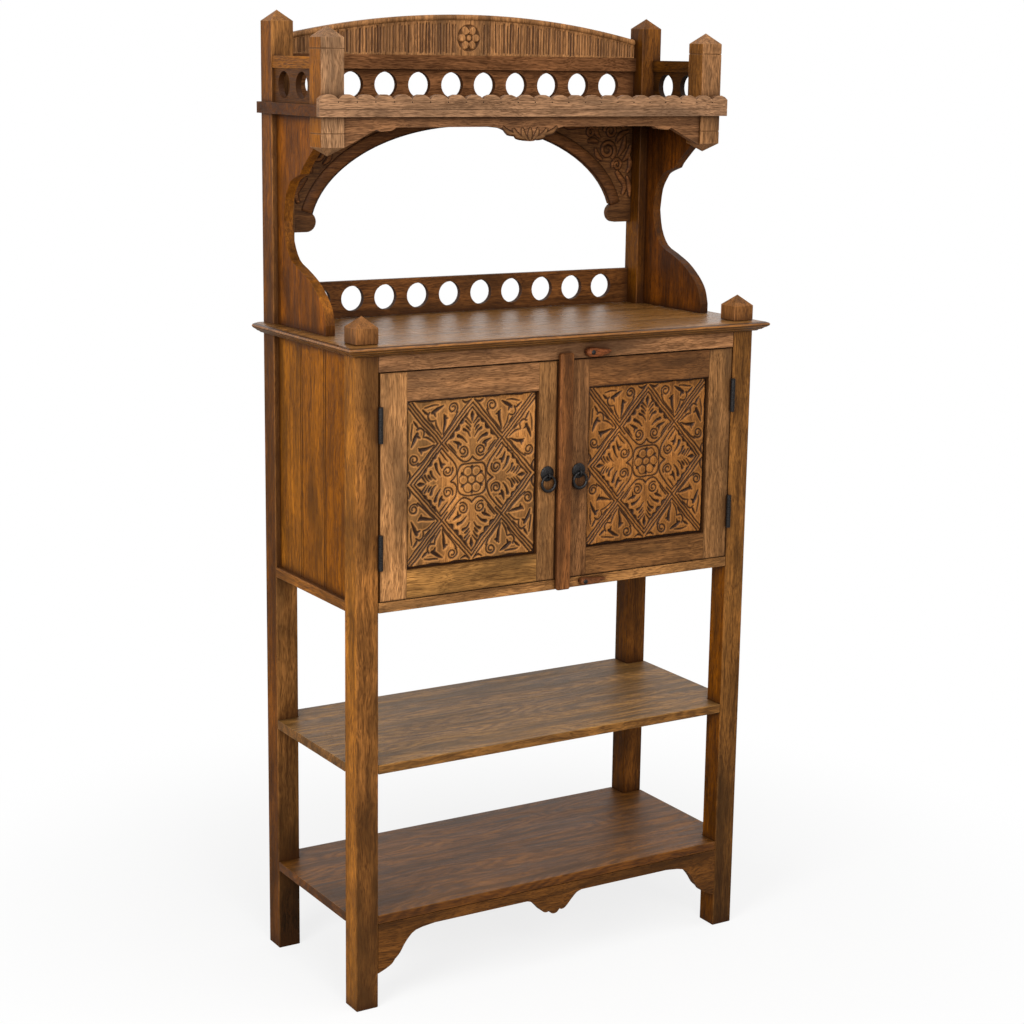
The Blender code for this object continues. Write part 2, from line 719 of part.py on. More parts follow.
def hinges(side, sign):
    # Butt hinges, with their leaves in the gap and their knuckles proud of the front.
    knuckle = BARREL_LENGTH / 3
    leaf_back = FRONT + LEAF_WIDTH
    leaf_front = HINGE_Y + BARREL + RUN_GAP
    door_side = sign * (HINGE_X - HINGE_GAP / 2 + FIT)
    frame_side = sign * (HINGE_X + HINGE_GAP / 2 - FIT)
    turning = []
    for level, middle in (("upper", DOOR_TOP - HINGE_FROM_END), ("lower", DOOR_BOTTOM + HINGE_FROM_END)):
        name = f"{side}_{level}_hinge"
        low = middle - BARREL_LENGTH / 2
        high = middle + BARREL_LENGTH / 2
        breaks = (low, low + knuckle, high - knuckle, high)

        def leaf(piece, face, inward, spans, bore):
            # A plate with a tab and a knuckle at each span of its height.
            x0, x1 = sorted((face, face + inward * LEAF))
            obj = block(piece, (x0, leaf_front, low), (x1, leaf_back, high), iron, 0.0)
            for i, (start, end) in enumerate(spans):
                tab = block(f"{piece}_tab_{i}", (x0, HINGE_Y, start), (x1, leaf_front + LEAF, end))
                join(obj, tab)
                bottom = (sign * HINGE_X, HINGE_Y, start)
                top = (sign * HINGE_X, HINGE_Y, end)
                join(obj, rod(f"{piece}_knuckle_{i}", BARREL, bottom, top))
            start = Vector((sign * HINGE_X, HINGE_Y, low))
            end = Vector((sign * HINGE_X, HINGE_Y, high))
            if bore:
                past = Vector((0, 0, knuckle))
                hole = rod(f"{piece}_bore", PIN + RUN_GAP, start - past, end + past, segments=12)
                return cut(obj, hole)
            half_in = Vector((0, 0, knuckle / 2))
            pin = rod(f"{piece}_pin", PIN, start + half_in, end - half_in, segments=12)
            return join(obj, pin)

        outer = ((breaks[0], breaks[1]), (breaks[2], breaks[3]))
        middle_span = ((breaks[1] + RUN_GAP, breaks[2] - RUN_GAP),)
        leaf(f"{name}_frame_leaf", frame_side, -sign, outer, False)
        turning.append(leaf(f"{name}_door_leaf", door_side, sign, middle_span, True))
    return turning


def turned(name, profile, at, material, steps=20):
    # A profile of (radius, height) run from the top of the axis down its outer side.
    mesh = bpy.data.meshes.new(name)
    edges = [(i, i + 1) for i in range(len(profile) - 1)]
    mesh.from_pydata([(radius, 0, height) for radius, height in profile], edges, [])
    obj = add(name, mesh, at, material)
    screw = obj.modifiers.new("turned", "SCREW")
    screw.steps = steps
    screw.render_steps = steps
    screw.use_merge_vertices = True
    screw.merge_threshold = 1e-5
    return obj


def pull(side, x):
    # A domed plate with an eye, and the ring that hangs in it.
    eye_ring = EYE_WIRE + RING_WIRE + FIT
    ring_y = FRONT - FIT - PULL_DOME - RING_WIRE - RUN_GAP
    eye_z = PULL_HEIGHT - PULL_EYE_DROP
    dome = turned(
        f"{side}_pull_plate",
        [
            (0, PULL_DOME),
            (0.45 * PULL_PLATE, 0.86 * PULL_DOME),
            (0.80 * PULL_PLATE, 0.55 * PULL_DOME),
            (PULL_PLATE, 0.25 * PULL_DOME),
            (PULL_PLATE, 0),
            (0, 0),
        ],
        (x, FRONT - FIT, PULL_HEIGHT),
        iron,
    )
    dome.rotation_euler = (math.pi / 2, 0, 0)
    bpy.ops.mesh.primitive_torus_add(
        major_radius=eye_ring,
        minor_radius=EYE_WIRE,
        major_segments=16,
        minor_segments=8,
    )
    eye = bpy.context.object
    eye_mesh = eye.data
    bpy.data.objects.remove(eye)
    loop = add(f"{side}_pull_eye", eye_mesh, (x, ring_y, eye_z), None)
    loop.rotation_euler = (0, math.pi / 2, 0)
    join(dome, loop)
    bpy.ops.mesh.primitive_torus_add(
        major_radius=RING,
        minor_radius=RING_WIRE,
        major_segments=28,
        minor_segments=8,
    )
    ring = bpy.context.object
    ring_mesh = ring.data
    bpy.data.objects.remove(ring)
    # The ring's own origin is in the wire at its top, on the line it swings about.
    for vert in ring_mesh.vertices:
        vert.co.y -= RING
    hoop = add(f"{side}_pull_ring", ring_mesh, (x, ring_y, eye_z), iron, ACROSS)
    return dome, hoop


def turn_button(level, x, z, rail, outline):
    # A wooden button that turns on a screw in a rail.
    front = FRONT - RUN_GAP - BUTTON
    middle = front + BUTTON / 2
    name = f"{level}_turn_button"
    button = plate(name, [outline], BUTTON, (x, middle, z), ACROSS, frame_wood)
    past = Vector((0, BUTTON, 0))
    pivot = Vector((x, middle, z))
    cut(button, rod(f"{name}_bore", SCREW + RUN_GAP, pivot - past, pivot + past, segments=12))
    head = front - RUN_GAP
    reach = FRONT + SCREW_HOLD
    screw = turned(
        f"{name}_screw",
        [
            (0, SCREW_DOME),
            (0.70 * SCREW_HEAD, 0.70 * SCREW_DOME),
            (SCREW_HEAD, 0),
            (SCREW, 0),
            (SCREW, head - reach),
            (0, head - reach),
        ],
        (x, head, z),
        iron,
        12,
    )
    screw.rotation_euler = (math.pi / 2, 0, 0)
    hole = rod(f"{name}_hole", SCREW + FIT, (x, FRONT - RAIL, z), (x, reach + FIT, z), segments=12)
    cut(rail, hole)
    return button


def turn_buttons(top_rail, bottom_rail):
    half = BUTTON_WIDTH / 2
    upper = [
        (-BUTTON_HEAD, -half),
        (BUTTON_LENGTH - BUTTON_POINT, -half),
        (BUTTON_LENGTH, 0),
        (BUTTON_LENGTH - BUTTON_POINT, half),
        (-BUTTON_HEAD, half),
    ]
    clear = RUN_GAP + half
    turn_button("upper", UPPER_BUTTON_X, RAIL_UNDER + clear + DOOR_GAP, top_rail, upper)
    half = LOWER_BUTTON_WIDTH / 2
    lower = rectangle(-half, LOWER_BUTTON_LENGTH, -half, half)
    rail_top = CUPBOARD_BOTTOM + BOTTOM_RAIL
    turn_button("lower", LOWER_BUTTON_X, rail_top - RUN_GAP - half, bottom_rail, lower)


def hutch_sides():
    # Scrolled boards that sweep back to a neck and forward again to the pendants.
    low = TABLE_TOP + FIT
    high = TRAY_UNDER - FIT
    back = POST_FRONT - FIT
    foot = BACK - HUTCH_DEPTH
    neck = back - HUTCH_NECK
    neck_z = (low + high) / 2
    head = PENDANT_BACK + FIT
    head_z = PENDANT_TOP - PENDANT_LENGTH + PENDANT_DROP_POINT
    sweep = neck - foot
    rise = neck_z - low
    reach = neck - head
    climb = head_z - neck_z
    lower = flowing(
        [
            (foot, low + 0.095 * rise),
            (foot + 0.055 * sweep, low + 0.24 * rise),
            (foot + 0.18 * sweep, low + 0.36 * rise),
            (foot + 0.38 * sweep, low + 0.48 * rise),
            (foot + 0.61 * sweep, low + 0.565 * rise),
            (foot + 0.82 * sweep, low + 0.64 * rise),
            (foot + 0.95 * sweep, low + 0.80 * rise),
            (neck, neck_z),
        ],
        3,
    )
    upper = flowing(
        [
            (neck, neck_z),
            (neck - 0.055 * reach, neck_z + 0.29 * climb),
            (neck - 0.18 * reach, neck_z + 0.47 * climb),
            (neck - 0.28 * reach, neck_z + 0.55 * climb),
            (neck - 0.54 * reach, neck_z + 0.63 * climb),
        ],
        3,
    )
    step = [
        (neck - 0.59 * reach, neck_z + 0.69 * climb),
        (neck - 0.66 * reach, neck_z + 0.75 * climb),
        (neck - 0.83 * reach, neck_z + 0.88 * climb),
        (head, head_z),
    ]
    outline = [(foot, low)] + lower + upper[1:] + step + [(head, high), (back, high), (back, low)]
    for side, sign in SIDES:
        x = sign * (SIDE_OUT - HUTCH_BOARD / 2)
        plate(f"{side}_hutch_side", [outline], HUTCH_BOARD, (x, 0, 0), ALONG, panel_wood)


def pierce(board, holes, at, turn):
    cut(board, plate(f"{board.name}_rounds", holes, 3 * THIN_BOARD, at, turn))


def rounds(z, from_post):
    # The row of pierced rounds between the rear posts.
    first = from_post - INNER
    pitch = -2 * first / (HOLES - 1)
    return [circle(first + i * pitch, z, HOLE) for i in range(HOLES)]


def lower_gallery():
    end = INNER - FIT
    low = TABLE_TOP + FIT
    front = BACK - THIN_BOARD
    board = block("lower_gallery", (-end, front, low), (end, BACK, low + GALLERY), frame_wood, 0.0)
    pierce(board, rounds(low + GALLERY_HOLE_RISE, HOLE_END), (0, BACK - THIN_BOARD / 2, 0), ACROSS)


def spandrels():
    # Two boards that meet at the crown, each with half of the arch and a knob at its lower end.
    end = INNER - FIT
    top = TRAY_UNDER - FIT
    knob_x = INNER - ARCH_KNOB_OUT
    knob_z = ARCH_SPRING + ARCH_KNOB
    half_span = INNER - ARCH_OUT
    arch = []
    steps = 18
    for i in range(1, steps + 1):
        angle = math.radians(90 - 79 * i / steps)
        arch.append((half_span * math.cos(angle), ARCH_SPRING + ARCH_RISE * math.sin(angle)))
    knob = arc(knob_x, knob_z, ARCH_KNOB, 118, 270, 10)
    middle = FIT / 2
    outline = [(middle, top), (middle, ARCH_CROWN)] + arch + knob + [(end, ARCH_SPRING), (end, top)]
    y = BACK - BOARD_INSET - THIN_BOARD / 2
    for side, sign in SIDES:
        loop = [(sign * u, v) for u, v in outline]
        plate(f"{side}_spandrel", [loop], THIN_BOARD, (0, y, 0), ACROSS, carved_wood)


def tray():
    end = HALF + TRAY_END
    outline = rectangle(-end, end, PENDANT_FRONT, BACK)
    board = plate("tray_board", [outline], TRAY, (0, 0, TRAY_TOP - TRAY / 2), UP, shelf_wood)
    for side, sign in SIDES:
        near, far = sorted((sign * (INNER - FIT), sign * (HALF + FIT)))
        low = TRAY_UNDER - POST
        high = TRAY_TOP + POST
        rear = block(f"{side}_rear_notch", (near, POST_FRONT - FIT, low), (far, BACK + POST, high))
        cut(board, rear)
        ahead = (near, PENDANT_FRONT - POST, low)
        front = block(f"{side}_pendant_notch", ahead, (far, PENDANT_BACK + FIT, high))
        cut(board, front)
    return board


def fascia():
    # A board over the tray's front edge, with a scalloped top, holes under the cusps and a scored line.
    end = HALF + TRAY_END
    low = TRAY_UNDER
    high = low + FASCIA_HEIGHT
    cusp = high - SCALLOP_RISE
    pitch = 2 * end / SCALLOPS
    radius = (pitch**2 / 4 + SCALLOP_RISE**2) / (2 * SCALLOP_RISE)
    spread = math.degrees(math.asin(pitch / 2 / radius))
    top = []
    for i in range(SCALLOPS):
        middle = end - (i + 0.5) * pitch
        top += arc(middle, high - radius, radius, 90 - spread, 90 + spread, 5)[:-1]
    outline = [(-end, low), (end, low)] + top + [(-end, cusp)]
    front = PENDANT_FRONT - FIT - FASCIA
    board = plate("scalloped_fascia", [outline], FASCIA, (0, front + FASCIA / 2, 0), ACROSS, frame_wood)
    z = low + FASCIA_SCORE
    past = end + POST
    line = (past, front + SCORE / 2, z + SCORE / 2)
    cut(board, block("fascia_score", (-past, front - SCORE, z), line))
    for i in range(1, SCALLOPS):
        x = end - i * pitch
        z = cusp - 3 * SCALLOP_DOT
        hole = rod(f"cusp_hole_{i}", SCALLOP_DOT, (x, front - SCORE, z), (x, front + SCORE, z), segments=6)
        cut(board, hole)


def valance():
    # The shaped board between the pendants, with brackets at its ends and a drop in the middle.
    end = INNER - FIT
    top = TRAY_UNDER - FIT
    straight = top - VALANCE_RAIL
    tip = top - VALANCE_BRACKET
    run = end - VALANCE_BRACKET_RUN
    fall = straight - tip
    steps = [(-0.60, 0.0), (-0.45, 0.16), (-0.10, 0.20), (0.0, 0.10), (0.15, 0.22), (1.0, 1.0)]
    bracket = [(run + u * VALANCE_BRACKET_RUN, straight - v * fall) for u, v in steps]
    middle_lobe = [(0.0, 1.0), (0.15, 0.95), (0.29, 0.68)]
    side_lobe = [(0.29, 0.68), (0.38, 0.67), (0.49, 0.60), (0.58, 0.44), (0.76, 0.18), (1.0, 0.0)]
    lobes = flowing(middle_lobe, 3) + flowing(side_lobe, 3)[1:]
    drop = [(u * VALANCE_DROP_RUN, straight - v * VALANCE_DROP) for u, v in lobes]
    lower = drop + bracket
    outline = mirrored(lower)[:-1] + lower + [(end, top), (-end, top)]
    y = PENDANT_FRONT + VALANCE_INSET + VALANCE / 2
    plate("front_valance", [outline], VALANCE, (0, y, 0), ACROSS, frame_wood)


def tray_galleries():
    # Pierced boards on three sides of the tray, each under a rail.
    low = TRAY_TOP + FIT
    split = low + TRAY_BOARD
    front = PENDANT_BACK + FIT
    back = POST_FRONT - FIT
    middle = (front + back) / 2
    z = low + TRAY_HOLE_RISE
    for side, sign in SIDES:
        outer = HALF - GALLERY_SETBACK
        inner = outer - THIN_BOARD
        near, far = sorted((sign * inner, sign * outer))
        board = block(
            f"{side}_gallery",
            (near, front + FIT, low),
            (far, back - FIT, split + SIDE_RAIL / 2),
            frame_wood,
            0.0,
        )
        holes = [circle(middle + s * SIDE_HOLE_PITCH / 2, z, HOLE) for s in (-1, 1)]
        pierce(board, holes, (sign * (outer + inner) / 2, 0, 0), ALONG)
        proud = SIDE_RAIL_PROUD
        near, far = sorted((sign * (inner - proud), sign * (outer + proud)))
        rail = block(f"{side}_gallery_rail", (near, front, split), (far, back, split + SIDE_RAIL))
        join(board, rail)
    end = INNER - FIT
    face = BACK - BOARD_INSET
    board = block(
        "rear_gallery",
        (FIT - end, face - THIN_BOARD, low),
        (end - FIT, face, split + GALLERY_RAIL / 2),
        frame_wood,
        0.0,
    )
    pierce(board, rounds(z, TRAY_HOLE_END), (0, face - THIN_BOARD / 2, 0), ACROSS)
    top = split + GALLERY_RAIL
    rail = block("rear_gallery_rail", (-end, BACK - REAR_RAIL, split), (end, BACK - FIT, top))
    join(board, rail)


def crest_arch(end, low, high, reach):
    # Points along the arch that has its crown at high and is at low over the ends, from right to left.
    rise = high - low
    radius = (end**2 + rise**2) / (2 * rise)
    spread = math.degrees(math.asin(reach / radius))
    return arc(0, high - radius, radius, 90 - spread, 90 + spread, 28)


def crest():
    # An arched board with upright flutes, a plain place for a rosette, and a band along the arch.
    end = INNER - FIT
    low = CREST_BOTTOM
    crown = HEIGHT - FIT
    ends_z = low + CREST_END_RISE
    front = BACK - CREST
    pitch = (end - CREST_PLAIN) / CREST_FLUTES
    edge = [(-end, front)]
    for i in range(CREST_FLUTES):
        left = i * pitch - end
        edge += [(left + pitch / 2, front + FLUTE), (left + pitch, front)]
    plan = edge + mirrored(edge) + [(end, BACK), (-end, BACK)]
    tall = HEIGHT - low + POST
    panel = plate("fluted_crest", [plan], tall, (0, 0, low + tall / 2), UP, carved_wood)
    # The fluted board ends inside the band.
    reach = end + POST
    lap = CREST_BAND / 2
    arch = crest_arch(end, ends_z - lap, crown - lap, reach)
    shape = arch + [(-reach, low - POST), (reach, low - POST)]
    keep = plate("crest_shape", [shape], POST, (0, BACK - CREST / 2, 0), ACROSS)
    combine(panel, keep, "INTERSECT")
    outer = crest_arch(end, ends_z, crown, end)
    inner = crest_arch(end, ends_z - CREST_BAND, crown - CREST_BAND, end)
    outline = outer + list(reversed(inner))
    thick = CREST + CREST_BAND_PROUD
    band = plate("crest_band", [outline], thick, (0, BACK - FIT - thick / 2, 0), ACROSS)
    join(panel, band)
    z = low + (crown - CREST_BAND - low) / 2
    proud = front - BAND_RELIEF
    sunk = front + 2 * FLUTE
    rosette(panel, "crest", 0, z, proud, sunk, CREST_ROSETTE_RING, CREST_PETAL, CREST_EYE)


posts()
shelves()
bottom_apron()
turn_buttons(*cupboard())
table_top()
doors()
hutch_sides()
lower_gallery()
spandrels()
tray()
fascia()
valance()
tray_galleries()
crest()
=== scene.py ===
import math
from functools import partial

import bmesh
import bpy
import numpy as np
from mathutils import Matrix, Vector


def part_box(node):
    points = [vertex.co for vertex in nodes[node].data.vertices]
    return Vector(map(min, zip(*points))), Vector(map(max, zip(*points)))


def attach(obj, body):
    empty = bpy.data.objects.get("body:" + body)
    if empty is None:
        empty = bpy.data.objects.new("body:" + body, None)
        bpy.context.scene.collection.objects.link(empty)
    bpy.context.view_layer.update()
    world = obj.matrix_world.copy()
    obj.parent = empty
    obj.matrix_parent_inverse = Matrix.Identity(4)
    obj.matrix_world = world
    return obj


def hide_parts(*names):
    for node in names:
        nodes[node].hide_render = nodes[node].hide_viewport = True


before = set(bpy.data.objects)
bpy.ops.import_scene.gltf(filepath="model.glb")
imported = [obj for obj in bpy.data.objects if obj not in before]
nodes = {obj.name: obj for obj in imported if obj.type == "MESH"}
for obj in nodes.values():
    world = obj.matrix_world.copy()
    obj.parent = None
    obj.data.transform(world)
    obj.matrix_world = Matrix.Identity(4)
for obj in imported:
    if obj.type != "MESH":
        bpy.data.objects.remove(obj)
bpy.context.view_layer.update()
scene = bpy.context.scene
print("frame loaded:", len(nodes), "nodes")


def linear(code):
    # sRGB hex to linear colour
    channels = [int(code[i : i + 2], 16) / 255 for i in (1, 3, 5)]
    return tuple(c / 12.92 if c <= 0.04045 else ((c + 0.055) / 1.055) ** 2.4 for c in channels) + (1.0,)


def put(tree, kind, inputs=(), out=0, **settings):
    # adds a node, a shader's where kind has no prefix, with its settings and with its inputs set or linked by
    # name or in their order, and gives back one of its outputs, or all of them where out is None
    made = tree.nodes.new(kind if "Node" in kind else f"ShaderNode{kind}")
    for key, value in settings.items():
        setattr(made, key, value)
    for key, value in inputs.items() if isinstance(inputs, dict) else enumerate(inputs):
        if isinstance(value, bpy.types.NodeSocket):
            tree.links.new(value, made.inputs[key])
        else:
            made.inputs[key].default_value = value
    if out is None:
        return made.outputs
    return made.outputs[out] if made.outputs else None


def newMaterial(name):
    # an empty material, and the call that adds nodes to it
    material = bpy.data.materials.new(name)
    material.use_nodes = True
    material.node_tree.nodes.clear()
    return material, partial(put, material.node_tree)


# camera at the photograph's place: position in metres, angles in radians, lens and sensor in millimetres
view = {
    "at": (-2.0858, -3.39738, 1.72537),
    "yaw": 0.55036,
    "pitch": -0.21243,
    "roll": 0.01445,
    "lens": 74.436,
    "sensor": 36,
}


def placeCamera():
    yaw, pitch, roll = view["yaw"], view["pitch"], view["roll"]
    ahead = Vector((math.sin(yaw) * math.cos(pitch), math.cos(yaw) * math.cos(pitch), math.sin(pitch)))
    right = Vector((math.cos(yaw), -math.sin(yaw), 0))
    up = right.cross(ahead)
    x = math.cos(roll) * right + math.sin(roll) * up
    y = math.cos(roll) * up - math.sin(roll) * right
    data = bpy.data.cameras.new("photo_camera")
    data.sensor_width = view["sensor"]
    data.lens = view["lens"]
    camera = bpy.data.objects.new("photo_camera", data)
    scene.collection.objects.link(camera)
    camera.matrix_world = Matrix((x, y, -ahead)).transposed().to_4x4()
    camera.location = view["at"]
    scene.camera = camera


# soft studio light: a white room, a large key from the left front and weaker lamps in front and above
studio = {
    "room": 0.34,
    "lamps": {
        "key": {"at": (-3.1, -1.7, 2.2), "to": (0, 0, 0.9), "size": 1.6, "power": 78},
        "front": {"at": (-0.9, -3.8, 2.3), "to": (0, 0, 0.8), "size": 2.0, "power": 74},
        "top": {"at": (0.2, -0.9, 3.7), "to": (0, 0, 0.6), "size": 2.0, "power": 30},
    },
    "floor": "#b9b7b3",
    "floorShown": "#fbfbfa",
    "floorRadius": 9.0,
    "shadow": 0.20,
    "shadowReach": (0.55, 1.5),
}


def lightRoom():
    world = bpy.data.worlds.new("white_room")
    scene.world = world
    world.use_nodes = True
    world.node_tree.nodes.clear()
    add = partial(put, world.node_tree)
    path = add("LightPath", out=None)
    seen = add("Math", (path["Is Camera Ray"], path["Is Glossy Ray"]), operation="MAXIMUM")
    seen = add("Math", (seen, path["Is Transmission Ray"]), operation="MAXIMUM")
    level = add("MapRange", (seen, 0.0, 1.0, studio["room"], 1.0))
    sky = add("Background", {"Color": (1, 1, 1, 1), "Strength": level})
    add("OutputWorld", {"Surface": sky})


def hangLamps():
    for name, lamp in studio["lamps"].items():
        data = bpy.data.lights.new(name, "AREA")
        data.shape = "DISK"
        data.size = lamp["size"]
        data.energy = lamp["power"]
        hung = bpy.data.objects.new(name, data)
        scene.collection.objects.link(hung)
        hung.location = lamp["at"]
        hung.rotation_euler = (Vector(lamp["at"]) - Vector(lamp["to"])).to_track_quat("Z", "Y").to_euler()


def layFloor():
    # pale painted floor, white to the camera, with a faint shadow round the legs
    material, add = newMaterial("matt_white_floor")
    path = add("LightPath", out=None)
    paint = add("BsdfDiffuse", {"Color": linear(studio["floor"])})
    bright = add("BsdfDiffuse", {"Color": linear(studio["floorShown"])})
    glow = add("Emission", {"Color": (1, 1, 1, 1), "Strength": 1.0})
    place = add("TexCoord", out="Object")
    away = add("VectorMath", (place,), "Value", operation="LENGTH")
    reach = (away, *studio["shadowReach"], 1 - studio["shadow"], 1.0)
    plain = add("MapRange", reach, interpolation_type="SMOOTHSTEP")
    shown = add("MixShader", (plain, bright, glow))
    both = add("MixShader", (path["Is Camera Ray"], paint, shown))
    add("OutputMaterial", {"Surface": both})
    bm = bmesh.new()
    bmesh.ops.create_circle(bm, cap_ends=True, segments=64, radius=studio["floorRadius"])
    mesh = bpy.data.meshes.new("studio_floor")
    bm.to_mesh(mesh)
    bm.free()
    mesh.materials.append(material)
    floor = bpy.data.objects.new("studio_floor", mesh)
    scene.collection.objects.link(floor)


placeCamera()
lightRoom()
hangLamps()
layFloor()
print("camera and studio light placed")

# Mango wood, stained and oiled: short open pores, soft bands of figure along the grain, some grey heartwood,
# stain gathered in the recesses with painted shade there and in inner corners, a golden tint that also paints
# light and shade on side faces, painted shade towards the foot of front faces, and stain rubbed thin on the
# edges. Widths of patterns are in millimetres across the grain, and all other lengths are in metres. The
# pores are drawn two or three times their real size, because they would not show at the photograph's scale.
mango = {
    "grain": "z",
    "tone": "#82552c",
    # tints, as multiples of the tone, and how far the light and dark streaks stand from it
    "spread": 0.95,
    "lightStep": (0.54, 0.52, 0.48),
    "darkStep": (0.54, 0.58, 0.62),
    "heart": (0.46, 0.48, 0.52),
    "pore": (0.24, 0.19, 0.15),
    "wear": (1.62, 1.66, 1.70),
    # a dark tint for stain and for painted shade, then a golden tint that also paints light and shade on side
    # faces
    "grimeAndShade": (0.16, 0.12, 0.09),
    "goldenSideShading": (1.10, 0.93, 0.26),
    "fleck": (1.75, 1.72, 1.60),
    # patterns: width, squeeze along the grain, detail and roughness
    "figure": (7.5, 0.03, 2.0, 0.55),
    "lines": (1.6, 0.02, 3.0, 0.65),
    "pores": (1.1, 0.06, 1.0, 0.55),
    "hill": (110.0, 0.22, 1.0, 0.55),
    "heartwood": (50.0, 0.17, 4.0, 0.55),
    "blotches": (55.0, 0.33, 3.0, 0.65),
    # slow wander of the grain
    "driftWidth": 140.0,
    "driftReach": 0.022,
    # light and dark streaks: the share of fine lines in them, and the contour lines of the arched figure
    "lineShare": 0.55,
    "ringCount": 70.0,
    "ringStep": 0.05,
    "ringShare": 0.15,
    "toneRange": (0.39, 0.61),
    # pores, the pale flecks between them, and grey heartwood
    "poreRange": (0.50, 0.64),
    "poreShare": 0.62,
    "fleckRange": (0.44, 0.30),
    "fleckShare": 0.45,
    "heartRange": (0.66, 0.78),
    "heartDepth": 0.8,
    "heartShare": 0.17,
    # least and most brightness in blotches of stain; painted shade towards the foot of front faces: its
    # height, the knee's and its brightness
    "blotchRange": (0.35, 0.68),
    "blotch": (0.66, 1.34),
    "footShade": None,
    # golden tint on faces turned to one axis, which also paints light and shade on those sides
    "goldenSideShadingShare": 0.0,
    "goldenSideShadingFace": "X",
    "goldenSideShadingLeast": 1.0,
    # rubbed edges
    "edgeRadius": 0.0026,
    "wearRange": (0.985, 0.80),
    "wearShare": 0.7,
    "patchWidth": 30.0,
    "patchRange": (0.35, 0.62),
    # stain along the edges of a board
    "rim": 0.0,
    "rimShare": 0.0,
    "rimRange": (0.35, 1.5),
    "raggedWidth": 20.0,
    # boards of a panel (axis, start, width) and the pair of scored lines at their joints
    "boards": None,
    "boardSpread": 0.14,
    "pair": 0.0065,
    "scoreRange": (0.0018, 0.0009),
    "scoreShare": 0.95,
    # drilled rounds: axis, level, half the room between the rails, and the share of painted shade on the
    # board there
    "bores": None,
    "boreShare": 0.75,
    "railFade": 0.006,
    # stain with painted shade in inner corners, or in carving where the mesh says how much, and in the quirks
    # of a moulding
    "cornerShade": 0.022,
    "cornerShadeRange": (0.97, 0.42),
    "cornerShadeShare": 0.88,
    "stained": False,
    "quirks": (),
    "quirkRange": (0.0013, 0.0006),
    "quirkShare": 0.92,
    # surface
    "roughness": 0.50,
    "roughStep": (-0.05, 0.08),
    "roughRange": (0.3, 0.7),
    "shine": 0.12,
    "ior": 1.5,
    "poreDepth": -0.6,
    "bumpShare": 0.4,
    "bumpReach": 0.0006,
}
grainTurn = {"x": (0, 0, 0), "y": (0, 0, math.pi / 2), "z": (0, math.pi / 2, 0)}
# each seed's stretch of the pattern: a step and where it starts over, for each axis
grainShift = ((1.37, 7), (0.73, 5), (2.11, 6))
# each board's stretch of the pattern, and its lot from 0 to 1
boardShift = (0.37, 0.29, 0.83)
boardLot = (0.45, 0.05)
# how far a face is turned to an axis where the golden tint and its painted light and shade begin and where
# they are full: for X on the sides, for Z on all but the level faces
goldenSideShadingFaces = {"X": (0.6, 0.9), "Z": (0.85, 0.55)}


def tint(look, part):
    return tuple(c * k for c, k in zip(linear(look["tone"]), look[part])) + (1.0,)


def layTints(add, look, colour, layers):
    # covers a colour with tints of the wood, one after another, each by its share
    for share, part in layers:
        colour = add("Mix", {0: share, 6: colour, 7: tint(look, part)}, 2, data_type="RGBA")
    return colour


def streaks(add, grain, pattern):
    # noise drawn out along the grain
    width, draw, detail, rough = pattern
    drawn = add("Mapping", {"Vector": grain, "Scale": (draw, 1, 1)})
    noise = {"Vector": drawn, "Scale": 1000 / width, "Detail": detail, "Roughness": rough}
    return add("TexNoise", noise)


def faceTurn(add, normal, axis):
    # how far a face is turned to an axis, from 0 to 1
    turn = add("SeparateXYZ", (normal,), axis)
    return add("Math", (turn,), operation="ABSOLUTE")


def fromLevel(add, place, level):
    # distance up or down from a level
    height = add("SeparateXYZ", (place,), "Z")
    height = add("Math", (height, level), operation="SUBTRACT")
    return add("Math", (height,), operation="ABSOLUTE")


def splitBoards(add, look, place):
    # each board of a panel has its own stretch of grain and its own lot
    axis, start, width = look["boards"]
    along = add("SeparateXYZ", (place,), axis)
    along = add("Math", (along, start), operation="SUBTRACT")
    index = add("Math", (along, width), operation="DIVIDE")
    index = add("Math", (index,), operation="FLOOR")
    lot = add("Math", (index, *boardLot), operation="MULTIPLY_ADD")
    lot = add("Math", (lot,), operation="FRACT")
    apart = add("VectorMath", (index, boardShift), operation="MULTIPLY")
    shifted = add("VectorMath", (place, apart), operation="ADD")
    return along, lot, shifted


def wanderGrain(add, look, grain):
    noise = {"Vector": grain, "Scale": 1000 / look["driftWidth"], "Detail": 2.0}
    drift = add("TexNoise", noise, "Color")
    drift = add("VectorMath", (drift, (0.5, 0.5, 0.5)), operation="SUBTRACT")
    across = (0.0, look["driftReach"], look["driftReach"])
    drift = add("VectorMath", (drift, across), operation="MULTIPLY")
    return add("VectorMath", (grain, drift), operation="ADD")


def streakColour(add, look, waved, lines, figure, pits):
    # light and dark streaks with the contour lines of a slow hill, then flecks and heartwood over them
    ring = add("Math", (streaks(add, waved, look["hill"]), look["ringCount"]), operation="MULTIPLY")
    ring = add("Math", (ring,), operation="SINE")
    tone = add("Math", (figure, 1 - look["lineShare"]), operation="MULTIPLY")
    tone = add("Math", (lines, look["lineShare"], tone), operation="MULTIPLY_ADD")
    tone = add("Math", (ring, look["ringStep"] * look["ringShare"], tone), operation="MULTIPLY_ADD")
    tone = add("MapRange", (tone, *look["toneRange"]))
    fleck = add("MapRange", (pits, *look["fleckRange"], 0.0, look["fleckShare"]))
    heart = streaks(add, waved, look["heartwood"])
    low, high = look["heartRange"]
    reach = (heart, low - look["heartShare"], high - look["heartShare"] / 2, 0.0, look["heartDepth"])
    heart = add("MapRange", reach, interpolation_type="SMOOTHSTEP")
    return layTints(add, look, tint(look, "dark"), [(tone, "light"), (fleck, "fleck"), (heart, "heart")])


